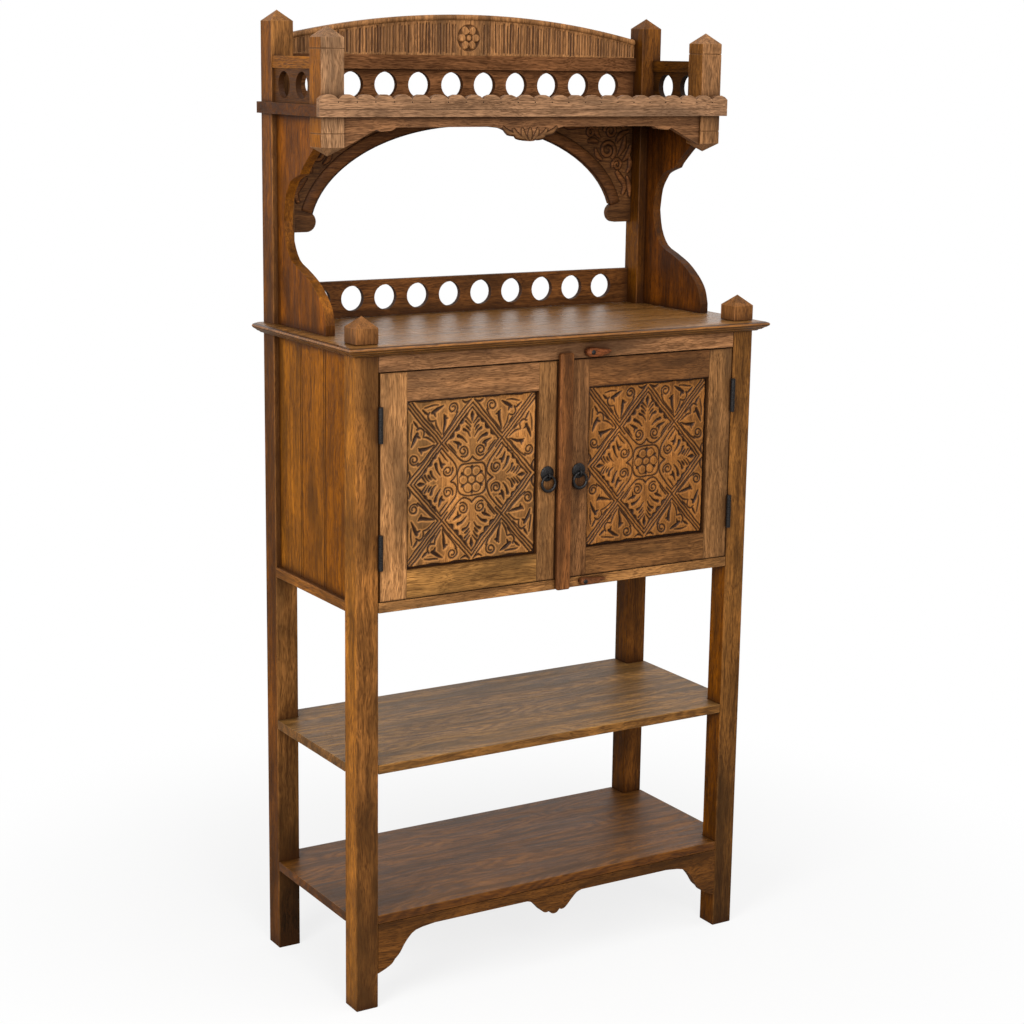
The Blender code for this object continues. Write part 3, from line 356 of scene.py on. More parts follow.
def shadeBoard(add, look, colour, place, normal, waved, lot):
    # blotches of stain, a hand's width across, the board's own lot, and painted shade towards the foot of
    # front faces
    blotch = streaks(add, waved, look["blotches"])
    shades = [add("MapRange", (blotch, *look["blotchRange"], *look["blotch"]))]
    if lot:
        least, most = 1 - look["boardSpread"], 1 + look["boardSpread"]
        shades.append(add("MapRange", (lot, 0.0, 1.0, least, most)))
    if look["footShade"]:
        foot, knee, least = look["footShade"]
        height = add("SeparateXYZ", (place,), "Z")
        darker = add("MapRange", (height, foot, knee, least - 1, 0.0))
        ahead = faceTurn(add, normal, "Y")
        shades.append(add("Math", (darker, ahead, 1.0), operation="MULTIPLY_ADD"))
    for shade in shades:
        colour = add("VectorMath", {0: colour, "Scale": shade}, operation="SCALE")
    return colour


def paintGoldenSideShading(add, look, colour, normal, lot):
    # faces turned to one axis take a golden tint that also paints light and shade by the side they face:
    # lighter on some boards, darker on others
    axis = look["goldenSideShadingFace"]
    share = (faceTurn(add, normal, axis), *goldenSideShadingFaces[axis], 0.0, look["goldenSideShadingShare"])
    share = add("MapRange", share)
    if look["goldenSideShadingLeast"] < 1:
        least = add("MapRange", (lot, 0.0, 1.0, 1.0, look["goldenSideShadingLeast"]))
        share = add("Math", (share, least), operation="MULTIPLY")
    sideShaded = add("VectorMath", (colour, look["goldenSideShading"]), operation="MULTIPLY")
    return add("Mix", {0: share, 6: colour, 7: sideShaded}, 2, data_type="RGBA")


def rubbedEdges(add, look, normal, grain):
    # edges rubbed lighter by use, in patches
    eased = add("Bevel", {"Radius": look["edgeRadius"]}, samples=4)
    even = add("VectorMath", (normal, eased), "Value", operation="DOT_PRODUCT")
    worn = add("MapRange", (even, *look["wearRange"], 0.0, look["wearShare"]))
    noise = {"Vector": grain, "Scale": 1000 / look["patchWidth"], "Detail": 3.0}
    patchy = add("MapRange", (add("TexNoise", noise), *look["patchRange"]))
    return add("Math", (worn, patchy), operation="MULTIPLY")


def rimStain(add, look, place, grain, box):
    # stain gathered along the edges of a board, on the two sides across its thickness
    low, high = box
    thin = min(range(3), key=lambda i: high[i] - low[i])
    fromMiddle = add("VectorMath", (place, tuple((low + high) / 2)), operation="SUBTRACT")
    fromMiddle = add("VectorMath", (fromMiddle,), operation="ABSOLUTE")
    room = add("VectorMath", (tuple((high - low) / 2), fromMiddle), operation="SUBTRACT")
    room = add("SeparateXYZ", (room,), None)
    near = add("Math", [room[i] for i in range(3) if i != thin], operation="MINIMUM")
    noise = {"Vector": grain, "Scale": 1000 / look["raggedWidth"], "Detail": 3.0}
    ragged = add("TexNoise", noise)
    near = add("Math", (ragged, look["rim"], near), operation="MULTIPLY_ADD")
    full, none = (share * look["rim"] for share in look["rimRange"])
    reach = (near, full, none, look["rimShare"], 0.0)
    return add("MapRange", reach, interpolation_type="SMOOTHSTEP")


def scoredPair(add, look, along):
    # the pair of scored lines at each joint of the boards, dark with stain
    joint = add("Math", (along, look["boards"][2] / 2), operation="PINGPONG")
    line = add("Math", (joint, look["pair"] / 2), operation="SUBTRACT")
    line = add("Math", (line,), operation="ABSOLUTE")
    return add("MapRange", (line, *look["scoreRange"], 0.0, look["scoreShare"]))


def boredRounds(add, look, place, normal):
    # walls of the drilled rounds, end grain that drank the stain, darkened with painted shade as well, and
    # painted shade on the board between its rails
    axis, level, room, shade = look["bores"]
    wall = add("Math", (faceTurn(add, normal, axis), 0.5), operation="LESS_THAN")
    away = fromLevel(add, place, level)
    within = add("Math", (away, room), operation="LESS_THAN")
    bored = add("Math", (wall, within), operation="MULTIPLY")
    bored = add("Math", (bored, look["boreShare"]), operation="MULTIPLY")
    layers = [(bored, "grimeAndShade")]
    if shade:
        shadeBetweenRails = add("MapRange", (away, room + look["railFade"], room, 0.0, shade))
        layers.append((shadeBetweenRails, "grimeAndShade"))
    return layers


def stainAndShadeLayers(add, look, place):
    # stain with painted shade left in the cuts of carving, whose ridges are rubbed bright, or else in inner
    # corners and quirks
    if look["stained"]:
        rubbed, stainAndShade = (add("Attribute", out="Fac", attribute_name=name) for name in ("rubbed", "stainAndShade"))
        return [(rubbed, "wear"), (stainAndShade, "grimeAndShade")]
    cornerShade = add("AmbientOcclusion", {"Distance": look["cornerShade"]}, "AO", samples=8)
    layers = [(add("MapRange", (cornerShade, *look["cornerShadeRange"], 0.0, look["cornerShadeShare"])), "grimeAndShade")]
    for level in look["quirks"]:
        reach = (fromLevel(add, place, level), *look["quirkRange"], 0.0, look["quirkShare"])
        layers.append((add("MapRange", reach), "grimeAndShade"))
    return layers


def wood(name, seed, box, **changes):
    look = dict(mango, **changes)
    look["light"] = [1 + look["spread"] * step for step in look["lightStep"]]
    look["dark"] = [1 - look["spread"] * step for step in look["darkStep"]]
    material, add = newMaterial(name)
    place = add("TexCoord", out="Object")
    normal = add("NewGeometry", out="Normal")
    along, lot, shifted = splitBoards(add, look, place) if look["boards"] else (None, None, place)
    away = tuple(seed * step % span for step, span in grainShift)
    stretch = {"Vector": shifted, "Rotation": grainTurn[look["grain"]], "Location": away}
    grain = add("Mapping", stretch)
    waved = wanderGrain(add, look, grain)
    figure, lines, pits = (streaks(add, waved, look[part]) for part in ("figure", "lines", "pores"))
    pore = add("MapRange", (pits, *look["poreRange"]), interpolation_type="SMOOTHSTEP")
    colour = streakColour(add, look, waved, lines, figure, pits)
    colour = shadeBoard(add, look, colour, place, normal, waved, lot)
    pitted = add("Math", (pore, look["poreShare"]), operation="MULTIPLY")
    colour = layTints(add, look, colour, [(pitted, "pore")])
    if look["goldenSideShadingShare"]:
        colour = paintGoldenSideShading(add, look, colour, normal, lot)
    layers = [(rubbedEdges(add, look, normal, grain), "wear")]
    if look["rimShare"]:
        layers.append((rimStain(add, look, place, grain, box), "grimeAndShade"))
    if look["boards"] and look["pair"]:
        layers.append((scoredPair(add, look, along), "grimeAndShade"))
    if look["bores"]:
        layers += boredRounds(add, look, place, normal)
    height = add("Math", (pore, look["poreDepth"], lines), operation="MULTIPLY_ADD")
    bump = {"Height": height, "Strength": look["bumpShare"], "Distance": look["bumpReach"]}
    smoothest, roughest = (look["roughness"] + step for step in look["roughStep"])
    skin = {
        "Base Color": layTints(add, look, colour, layers + stainAndShadeLayers(add, look, place)),
        "Roughness": add("MapRange", (figure, *look["roughRange"], smoothest, roughest)),
        "Normal": add("Bump", bump),
        "IOR": look["ior"],
        "Specular IOR Level": look["shine"],
    }
    add("OutputMaterial", {"Surface": add("BsdfPrincipled", skin)})
    return material


# Forged iron, blacked in oil: dark, half matt, with rubbed grey on the high places. Widths of patterns are in
# millimetres, and other lengths in metres.
blackedIron = {
    "tones": ("#1b1919", "#3b3837"),
    "gritWidth": 2.2,
    "gritRange": (0.42, 0.72),
    "dentWidth": 9.0,
    "dentRange": (0.3, 0.7),
    "roughness": (0.36, 0.58),
    "metallic": 0.75,
    "bumpShare": 0.4,
    "bumpReach": 0.0006,
    "seedStep": 0.31,
}


def iron(name, seed):
    look = blackedIron
    material, add = newMaterial(name)
    place = add("TexCoord", out="Object")
    place = add("Mapping", {"Vector": place, "Location": (seed * look["seedStep"], 0, 0)})
    noise = {"Vector": place, "Scale": 1000 / look["gritWidth"], "Detail": 4.0, "Roughness": 0.65}
    rubbed = add("MapRange", (add("TexNoise", noise), *look["gritRange"]))
    dent = add("TexNoise", {"Vector": place, "Scale": 1000 / look["dentWidth"], "Detail": 2.0})
    dark, grey = (linear(code) for code in look["tones"])
    bump = {"Height": dent, "Strength": look["bumpShare"], "Distance": look["bumpReach"]}
    skin = {
        "Base Color": add("Mix", {0: rubbed, 6: dark, 7: grey}, 2, data_type="RGBA"),
        "Metallic": look["metallic"],
        "Roughness": add("MapRange", (dent, *look["dentRange"], *look["roughness"])),
        "Normal": add("Bump", bump),
    }
    add("OutputMaterial", {"Surface": add("BsdfPrincipled", skin)})
    return material


# middles of the drilled rounds over the table top and over the tray, and half the room between the rails
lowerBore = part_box("lower_gallery")[0].z + 0.0355
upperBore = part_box("rear_gallery")[0].z + 0.0310
boreRoom = 0.0246
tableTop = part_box("table_top")[1].z

# what each board shows, by its name, with what several boards share first
postLook = {"cornerShade": 0.05, "cornerShadeShare": 0.97, "goldenSideShadingShare": 1.0, "blotch": (0.55, 1.42)}
legLook = {"goldenSideShadingShare": 1.0, "blotch": (0.56, 1.42)}
flatLook = {"grain": "x", "ringCount": 140.0, "pair": 0.0, "goldenSideShadingShare": 0.9, "goldenSideShadingFace": "Z"}
shelfLook = {
    **flatLook,
    "roughness": 0.42,
    "shine": 0.2,
    "spread": 0.85,
    "heart": (0.40, 0.42, 0.45),
    "heartwood": (26.0, 0.07, 4.0, 0.55),
    "heartShare": 0.24,
    "goldenSideShading": (0.70, 0.58, 0.44),
}
sidePanelLook = {
    "tone": "#8f5919",
    "blotch": (0.68, 1.3),
    "rim": 0.018,
    "rimShare": 0.7,
    "goldenSideShadingShare": 1.0,
    "goldenSideShadingLeast": 0.35,
    "goldenSideShading": (1.02, 0.86, 0.06),
    "boards": ("Y", -0.1306, 0.09523),
    "boardSpread": 0.16,
}
# golden side tints here also paint light and shade on side faces, and foot shades paint shade towards the
# foot
boardLooks = {
    "rear_left_post": {
        **postLook, "tone": "#8e5f30", "goldenSideShading": (0.60, 0.45, 0.16), "footShade": (0.06, 0.62, 0.10)
    },
    "rear_right_post": {**postLook, "tone": "#6d4114", "goldenSideShading": (0.95, 0.9, 0.2)},
    "front_left_leg": {
        **legLook,
        "tone": "#895828",
        "goldenSideShading": (1.5, 1.42, 0.8),
        "heartShare": 0.22,
        "footShade": (0.30, 0.62, 0.52),
    },
    "front_right_leg": {**legLook, "tone": "#805426", "goldenSideShading": (0.74, 0.54, 0.02), "footShade": (0.08, 0.6, 0.35)},
    "front_left_pendant": {"tone": "#9d7552", "goldenSideShadingShare": 1.0, "goldenSideShading": (0.80, 0.51, 0.09)},
    "front_right_pendant": {"tone": "#8d6440", "goldenSideShadingShare": 0.9, "goldenSideShading": (0.60, 0.48, 0.20)},
    "table_top": {
        **flatLook,
        "tone": "#926533",
        "roughness": 0.28,
        "shine": 0.3,
        "spread": 0.7,
        "heartwood": (30.0, 0.08, 4.0, 0.55),
        "heartShare": 0.16,
        "ringShare": 0.9,
        "blotch": (0.84, 1.16),
        "boards": ("Y", -0.199, 0.0998),
        "boardSpread": 0.07,
        "cornerShadeShare": 0.55,
        "quirks": [tableTop - drop for drop in (0.0173, 0.0131, 0.0079, 0.0023)],
        "goldenSideShading": (0.98, 0.80, 0.50),
    },
    "middle_shelf": {
        **shelfLook,
        "tone": "#9c723d",
        "ringShare": 1.3,
        "blotch": (0.84, 1.16),
        "boards": ("Y", -0.18, 0.094),
        "boardSpread": 0.09,
    },
    "bottom_shelf": {
        **shelfLook,
        "tone": "#7c4f1e",
        "ringShare": 1.5,
        "blotch": (0.8, 1.2),
        "boards": ("Y", -0.2, 0.107),
        "boardSpread": 0.11,
    },
    "cupboard_floor": {"grain": "x"},
    "tray_board": {"grain": "x", "tone": "#5c3a1c", "goldenSideShadingShare": 1.0, "goldenSideShading": (0.85, 0.64, 0.15)},
    "left_side_panel": sidePanelLook,
    "right_side_panel": sidePanelLook,
    "cupboard_back": {"rim": 0.012, "rimShare": 0.4, "boards": ("X", -0.3836, 0.0959)},
    "left_hutch_side": {
        "tone": "#7a4812", "rim": 0.015, "rimShare": 0.6, "goldenSideShadingShare": 0.8, "blotch": (0.5, 1.4)
    },
    "right_hutch_side": {
        "tone": "#58310a", "rim": 0.008, "rimShare": 0.5, "goldenSideShadingShare": 0.8, "blotch": (0.45, 1.45)
    },
    "lower_gallery": {"grain": "x", "tone": "#6a411e", "bores": ("Y", lowerBore, boreRoom, 0.0)},
    "rear_gallery": {
        "grain": "x",
        "tone": "#724b2e",
        "shine": 0.05,
        "roughness": 0.9,
        "bores": ("Y", upperBore, boreRoom, 0.12),
    },
    "left_gallery": {"grain": "y", "goldenSideShadingShare": 1.0, "bores": ("X", upperBore, boreRoom, 0.6)},
    # a darker tone here paints the shade under the tray
    "right_gallery": {
        "grain": "y", "tone": "#4a2e16", "goldenSideShadingShare": 1.0, "bores": ("X", upperBore, boreRoom, 0.4)
    },
    "left_spandrel": {"grain": "x", "tone": "#6c4728"},
    "right_spandrel": {"grain": "x", "tone": "#6c4728"},
    "scalloped_fascia": {"grain": "x", "tone": "#936e50", "heartShare": 0.24},
    "front_valance": {"grain": "x", "tone": "#855c3c"},
    "front_top_rail": {"grain": "x", "tone": "#9d6f49", "heartShare": 0.2},
    "front_bottom_rail": {"grain": "x", "tone": "#996b3d"},
    "left_bottom_rail": {"grain": "y", "goldenSideShadingShare": 0.6},
    "right_bottom_rail": {"grain": "y", "goldenSideShadingShare": 0.6},
    "bottom_apron": {"grain": "x", "tone": "#623c17"},
    "door_astragal": {"tone": "#7b4c27"},
    "left_door_top_rail": {"grain": "x", "tone": "#926641"},
    "left_door_bottom_rail": {"grain": "x", "tone": "#946836"},
    "right_door_top_rail": {"grain": "x", "tone": "#80542f", "heartShare": 0.26},
    "right_door_bottom_rail": {"grain": "x", "tone": "#79512c"},
    "left_door_hinge_stile": {"tone": "#ac7a4b"},
    "left_door_meeting_stile": {"tone": "#986a3e"},
    "right_door_hinge_stile": {"tone": "#8c623a"},
    "right_door_meeting_stile": {"tone": "#77502f"},
}
# words in the names of iron pieces, and of the doors' boards, which have stain along their edges
ironWords = ("_leaf", "pull_", "_screw")
doorWords = ("stile", "door_top_rail", "door_bottom_rail")
doorLook = {"rim": 0.0030, "rimShare": 0.6}


def dressNodes():
    for seed, name in enumerate(sorted(nodes)):
        if any(word in name for word in ironWords):
            material = iron(f"blacked_iron_{name}", seed)
        else:
            shared = doorLook if any(word in name for word in doorWords) else {}
            look = {**shared, **boardLooks.get(name, {})}
            material = wood(f"oiled_mango_{name}", seed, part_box(name), **look)
        mesh = nodes[name].data
        mesh.materials.clear()
        mesh.materials.append(material)


dressNodes()
print("woods and iron made")


def keepPiece(name, mesh, body, stands=()):
    piece = bpy.data.objects.new(name, mesh)
    scene.collection.objects.link(piece)
    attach(piece, body)
    for node in stands:
        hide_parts(node)


def faceOut(mesh):
    bm = bmesh.new()
    bm.from_mesh(mesh)
    bmesh.ops.recalc_face_normals(bm, faces=bm.faces)
    bm.to_mesh(mesh)
    bm.free()
    mesh.shade_smooth()


def tubeFaces(first, rings, around):
    # sides and ends of a tube whose rings of points follow each other
    last = first + (rings - 1) * around
    faces = []
    for start in range(first, last, around):
        for j in range(around):
            a, b = start + j, start + (j + 1) % around
            faces.append((a, b, b + around, a + around))
    return faces + [tuple(range(first, first + around)), tuple(range(last, last + around))]


def spline(points, steps):
    # a smooth line through the points
    ends = np.array([points[0], *points, points[-1]], float)
    line = []
    for p0, p1, p2, p3 in zip(ends, ends[1:], ends[2:], ends[3:]):
        for t in np.arange(steps) / steps:
            bend = (2 * p0 - 5 * p1 + 4 * p2 - p3) * t**2 + (3 * p1 - p0 - 3 * p2 + p3) * t**3
            line.append((2 * p1 + (p2 - p0) * t + bend) / 2)
    return np.array(line + [ends[-1]])


def leaf(points, widths):
    # a smooth line with its half widths
    line = spline(points, steps=5)
    return line, np.interp(np.linspace(0, len(widths) - 1, len(line)), range(len(widths)), widths)


def coil(u, v, outer, inner, start, turns, steps=36):
    # a spiral from its outer end to its eye, angles in degrees, with the sign of turns for its hand
    t = np.linspace(0, 1, steps)
    angle = math.radians(start) + 2 * math.pi * turns * t
    radius = outer + (inner - outer) * t
    return np.stack([u + radius * np.cos(angle), v + radius * np.sin(angle)], 1)


def toStroke(x, z, points, widths):
    # distance from each place to a line, less the line's half width there
    best = np.full(x.shape, np.inf)
    for (a, b), (c, d), wa, wb in zip(points[:-1], points[1:], widths[:-1], widths[1:]):
        lx, lz = c - a, d - b
        t = np.clip(((x - a) * lx + (z - b) * lz) / max(lx * lx + lz * lz, 1e-9), 0, 1)
        np.minimum(best, np.hypot(x - a - t * lx, z - b - t * lz) - wa - (wb - wa) * t, out=best)
    return best


def smooth(value):
    value = np.clip(value, 0, 1)
    return value * value * (3 - 2 * value)


# The carved lattice of a door, in millimetres from its middle: one quarter is drawn and mirrored. The field
# is level and rounded over, and each cut of the gouge is a line with its half widths.
carving = {
    "halfWidth": 133.0,
    "halfHeight": 149.0,
    "columns": 288,
    "rows": 322,
    # wander of the hand: its two amplitudes, and the wavelengths of each across and along the panel
    "wander": (0.5, 0.3),
    "wanderWaves": (9.0, 4.1, 13.0),
    "dropWaves": (8.0, 3.7, 11.0),
    # lattice: the middle grooves of the diamond and of the corner bands
    "bands": [[(125.6, 0), (0, 140.7)], [(133.0, 149.0), (50, 56)]],
    "bandHalf": 0.95,
    # heart-shaped cells over the middle and beside it, straight and then round, with a scroll in each
    "cells": [
        ([(0, 132.5), (55.4, 70.4)], [(41, 54.5), (31, 43), (23, 35.6), (14.7, 33), (6, 36), (0, 42)]),
        ([(118.3, 0), (62.8, 62.1)], [(51, 49), (38, 34), (32, 22), (32, 11), (37, 4.5), (44, 0)]),
    ],
    "cellHalf": 1.0,
    "scrolls": [(17.8, 52.5, 11.0, 3.0, -60, -1.55), (50.4, 19.5, 10.8, 3.0, 150, 1.55)],
    # a palmette of 90 from its foot, as (outward, across), upright and laid sideways, where it is stretched
    "uprightFoot": 42,
    "sideFoot": 44,
    "sideStretch": (0.82, 1.14),
    "palmette": [
        ([(83, 0), (76, 0), (65, 0)], [0.3, 3.5, 0.5]),
        ([(61, 2.2), (66, 6.5), (71, 11.2)], [0.4, 0.9, 1.3]),
        ([(54, 3.6), (60, 8.2), (65, 13.4)], [0.4, 1.0, 1.5]),
        ([(48, 5.6), (53, 9.4), (56, 12.8)], [0.4, 1.9, 1.3]),
        ([(37, 4.6), (46, 10.4), (50, 18)], [0.4, 1.3, 2.3]),
        ([(26, 11.2), (34.6, 19.6), (38.4, 29)], [0.5, 1.6, 2.9]),
        ([(22.6, 23.2), (25.4, 29.3), (30, 39)], [1.3, 2.6, 0.5]),
        ([(25, 27), (20, 28.4), (15.5, 28.6)], [2.2, 1.6, 0.4]),
        ([(79, 8.2), (74, 12.6), (70.4, 15.2)], [0.6, 1.8, 1.0]),
        ([(69, 17.2), (63.6, 20.8), (60.4, 25)], [0.8, 2.6, 1.1]),
        ([(58.4, 27), (51.6, 29.6), (49.4, 35.4)], [0.8, 2.9, 1.2]),
        ([(46.4, 38.6), (39.6, 40.4), (36.2, 47)], [0.8, 2.5, 0.5]),
        ([(8, 33), (17, 40), (26, 48)], [0.5, 1.2, 0.8]),
    ],
    # triangles over the top of the diamond and at its side, with the cuts and the scroll of the first,
    # which are also laid into the other
    "topTriangle": [(62.8, 78.6), (123.8, 147), (4, 146)],
    "sideTriangle": [(70.2, 70.4), (131.5, 138.5), (131.5, 4)],
    "cornerAt": (40.4, 132.6),
    "cornerScroll": (10.6, 3.2, 230, -1.45),
    "cornerOther": (10.2, 3.2, 220, 1.45),
    "corner": [
        ([(59.9, 86), (46.5, 101.4), (36.7, 113.6), (30.6, 124.7)], [0.8, 1.1, 1.1, 1.1]),
        ([(55.6, 118), (57, 105), (60.6, 88)], [3.0, 2.4, 0.5]),
        ([(49.6, 116), (54, 116.4), (58.4, 122.4)], [0.6, 2.0, 0.6]),
        ([(75.6, 112), (73.4, 101), (64.4, 87)], [0.5, 1.2, 0.6]),
        ([(60.6, 138.6), (72, 132.6), (81.6, 126.4)], [0.5, 2.9, 2.4]),
        ([(78.5, 127), (77, 123.6), (75.4, 119.6)], [2.2, 1.5, 0.4]),
        ([(88, 127.4), (91, 119.8), (86, 111.6), (76, 112.4)], [1.0, 1.1, 1.1, 0.7]),
        ([(71, 140), (84, 139.6), (98, 137.2)], [0.4, 1.0, 0.5]),
        ([(90.4, 124.4), (96, 128.4), (102, 133.6)], [0.8, 1.9, 0.6]),
        ([(85, 108.6), (80, 101.6), (76, 97)], [0.5, 1.5, 0.5]),
        ([(6, 144.6), (14, 141), (22, 144.6)], [0.6, 1.7, 0.6]),
    ],
    # rosette of six petals in a rounded square, with rays between the petals
    "square": (29.5, 0.9),
    "petals": (17.2, 9.0, 0.45),
    "eye": (7.6, 0.6),
    "rays": [9.5, 17, 23],
    "rayWidths": [0.5, 0.7, 2.6],
    # depths of a groove, of a wide cut beyond it, of the fall towards every cut and of the edge
    "groove": 1.6,
    "pocket": 1.8,
    "fall": 1.4,
    "margin": 3.4,
    # a cut's wall, where it begins and how wide it is; the widths in which a cut sinks and the field falls
    "wall": (0.95, 1.15),
    "sinkWidth": 1.4,
    "fallWidth": 2.8,
    "fallReach": 9,
    # edge of the field, cut back in shallow lobes: their depth and spacing, its place, width and softness
    "lobe": (1.6, 19),
    "edge": (0.8, 2.0, 1.8),
    # shares of stain and painted shade in a groove, more in wide cuts, some on the fall, and at most, the
    # most also on the sunk edge of the field; rubbing beside the cuts
    "grooveStain": 0.86,
    "pocketStain": 0.11,
    "fallStain": 0.34,
    "mostStain": 0.97,
    "rubbed": 0.65,
    "rubbedAt": (2.4, 1.1),
}
cutReach = 12  # how far from a cut its distance is worked out


def doorCuts():
    # every cut on one quarter of a door
    even = [(line, carving["bandHalf"]) for line in carving["bands"]]
    even += [(coil(*scroll), carving["bandHalf"]) for scroll in carving["scrolls"]]
    for straight, bent in carving["cells"]:
        even.append(([*straight, *spline(bent, steps=4)], carving["cellHalf"]))
    long, wide = carving["sideStretch"]
    cuts = []
    for line, widths in carving["palmette"]:
        cuts.append(leaf([(q, carving["uprightFoot"] + p) for p, q in line], widths))
        cuts.append(leaf([(carving["sideFoot"] + long * p, wide * q) for p, q in line], widths))
    top, side = np.array(carving["topTriangle"]), np.array(carving["sideTriangle"])
    lay = np.linalg.solve(top[1:] - top[0], side[1:] - side[0])
    for line, widths in (leaf(*entry) for entry in carving["corner"]):
        cuts += [(line, widths), ((line - top[0]) @ lay + side[0], widths)]
    otherAt = (np.array(carving["cornerAt"]) - top[0]) @ lay + side[0]
    even.append((coil(*carving["cornerAt"], *carving["cornerScroll"]), carving["bandHalf"]))
    even.append((coil(*otherAt, *carving["cornerOther"]), carving["bandHalf"]))
    even += [(triangle[[1, 0, 2]], carving["cellHalf"]) for triangle in (top, side)]
    for turn in (30, 90):
        c, d = math.cos(math.radians(turn)), math.sin(math.radians(turn))
        cuts.append(leaf([(away * c, away * d) for away in carving["rays"]], carving["rayWidths"]))
    return cuts + [(np.array(line, float), np.full(len(line), half)) for line, half in even]


def carve(x, z, phase):
    # depth of the cut, share of stain with painted shade and share of rubbing at each place of the field
    slow, quick = carving["wander"]
    a, b, c = carving["wanderWaves"]
    wander = slow * np.sin(z / a + phase) + quick * np.sin(z / b + x / c + 2 * phase)
    a, b, c = carving["dropWaves"]
    drop = slow * np.sin(x / a + 1.7 * phase) + quick * np.sin(x / b - z / c + phase)
    x, z = np.abs(x + wander), np.abs(z + drop)
    # distance to the nearest cut, less than nought inside it
    away = np.hypot(x, z)
    size, half = carving["square"]
    cut = np.abs((x**4 + z**4) ** 0.25 - size) - half
    size, half = carving["eye"]
    cut = np.minimum(cut, np.abs(away - size) - half)
    out, size, half = carving["petals"]
    turns = np.radians(np.arange(0, 360, 60))
    petals = np.min([np.hypot(x - out * np.cos(turn), z - out * np.sin(turn)) - size for turn in turns], 0)
    cut = np.minimum(cut, np.abs(petals) - half)
    for line, widths in doorCuts():
        low, high = line.min(0) - cutReach, line.max(0) + cutReach
        near = (x > low[0]) & (x < high[0]) & (z > low[1]) & (z < high[1])
        cut[near] = np.minimum(cut[near], toStroke(x[near], z[near], line, widths))
    start, width = carving["wall"]
    scored = smooth((start - cut) / width)
    sunk = np.clip(-cut / carving["sinkWidth"], 0, 1)
    lobe, spacing = carving["lobe"]
    out, width, soft = carving["edge"]
    besideX = carving["halfWidth"] + out - x - lobe * np.abs(np.sin(z / spacing))
    besideZ = carving["halfHeight"] + out - z - lobe * np.abs(np.sin(x / spacing))
    margin = smooth((width - np.minimum(besideX, besideZ)) / soft)
    # surfaces fall away softly towards every cut
    fall = np.exp(-np.clip(cut, 0, carving["fallReach"]) / carving["fallWidth"]) * (1 - scored)
    depth = scored * (carving["groove"] + carving["pocket"] * sunk) + carving["fall"] * fall
    depth = np.maximum(depth, carving["margin"] * margin)
    # stain and painted shade in the cuts, on the falls towards them and on the sunk edge of the field
    stainAndShade = scored * (carving["grooveStain"] + carving["pocketStain"] * sunk) + carving["fallStain"] * fall
    stainAndShade = np.maximum(np.clip(stainAndShade, 0, carving["mostStain"]), carving["mostStain"] * margin)
    at, width = carving["rubbedAt"]
    rubbed = carving["rubbed"] * np.exp(-(((cut - at) / width) ** 2)) * (1 - margin)
    return depth, stainAndShade, rubbed


def closedRelief(name, front, rim):
    # a grid of points, (rows, columns, 3), closed at the back through loops that leave its border
    rows, columns = front.shape[:2]
    index = np.arange(rows * columns).reshape(rows, columns)
    quads = np.stack([index[:-1, :-1], index[:-1, 1:], index[1:, 1:], index[1:, :-1]], 2).reshape(-1, 4)
    border = np.concatenate([index[0, :-1], index[:-1, -1], index[-1, :0:-1], index[:0:-1, 0]])
    front = front.reshape(-1, 3)
    spots, faces, last, count = [front], quads.tolist(), border, len(front)
    for step in rim:
        spots.append(step(front[border].copy()))
        ids = np.arange(count, count + len(border))
        faces += np.stack([np.roll(last, -1), last, ids, np.roll(ids, -1)], 1).tolist()
        last, count = ids, count + len(border)
    faces.append(last[::-1].tolist())
    mesh = bpy.data.meshes.new(name)
    mesh.from_pydata(np.concatenate(spots).tolist(), [], faces)
    mesh.polygons.foreach_set("use_smooth", np.arange(len(faces)) < len(quads))
    return mesh


def stainMesh(mesh, shares, name="stainAndShade"):
    # keeps the share of stain with painted shade, or of rubbing, at each point, none where no share is given
    full = np.zeros(len(mesh.vertices), np.float32)
    full[: len(shares)] = shares
    mesh.attributes.new(name, "FLOAT", "POINT").data.foreach_set("value", full)


# depths behind the door's face, in metres, and how far the carved field stays off the panel's edge
panelRelief = {"front": 0.0044, "tongueFront": 0.0088, "tongueBack": 0.0152, "play": 0.0070}
carvedLook = {"stained": True, "wearShare": 0.0, "poreShare": 0.4}
panelLook = {
    **carvedLook,
    "shine": 0.2,
    # a darker grime tint: stain and painted shade in the panel's cuts
    "grimeAndShade": (0.045, 0.03, 0.018),
    "blotch": (0.6, 1.4),
    "heartwood": (60.0, 0.22, 4.0, 0.55),
}
panelLooks = {
    "left": {**panelLook, "tone": "#af753c", "heart": (0.46, 0.53, 0.62), "heartShare": 0.34},
    "right": {**panelLook, "tone": "#955f2a", "heart": (0.54, 0.57, 0.60), "heartShare": 0.26},
}


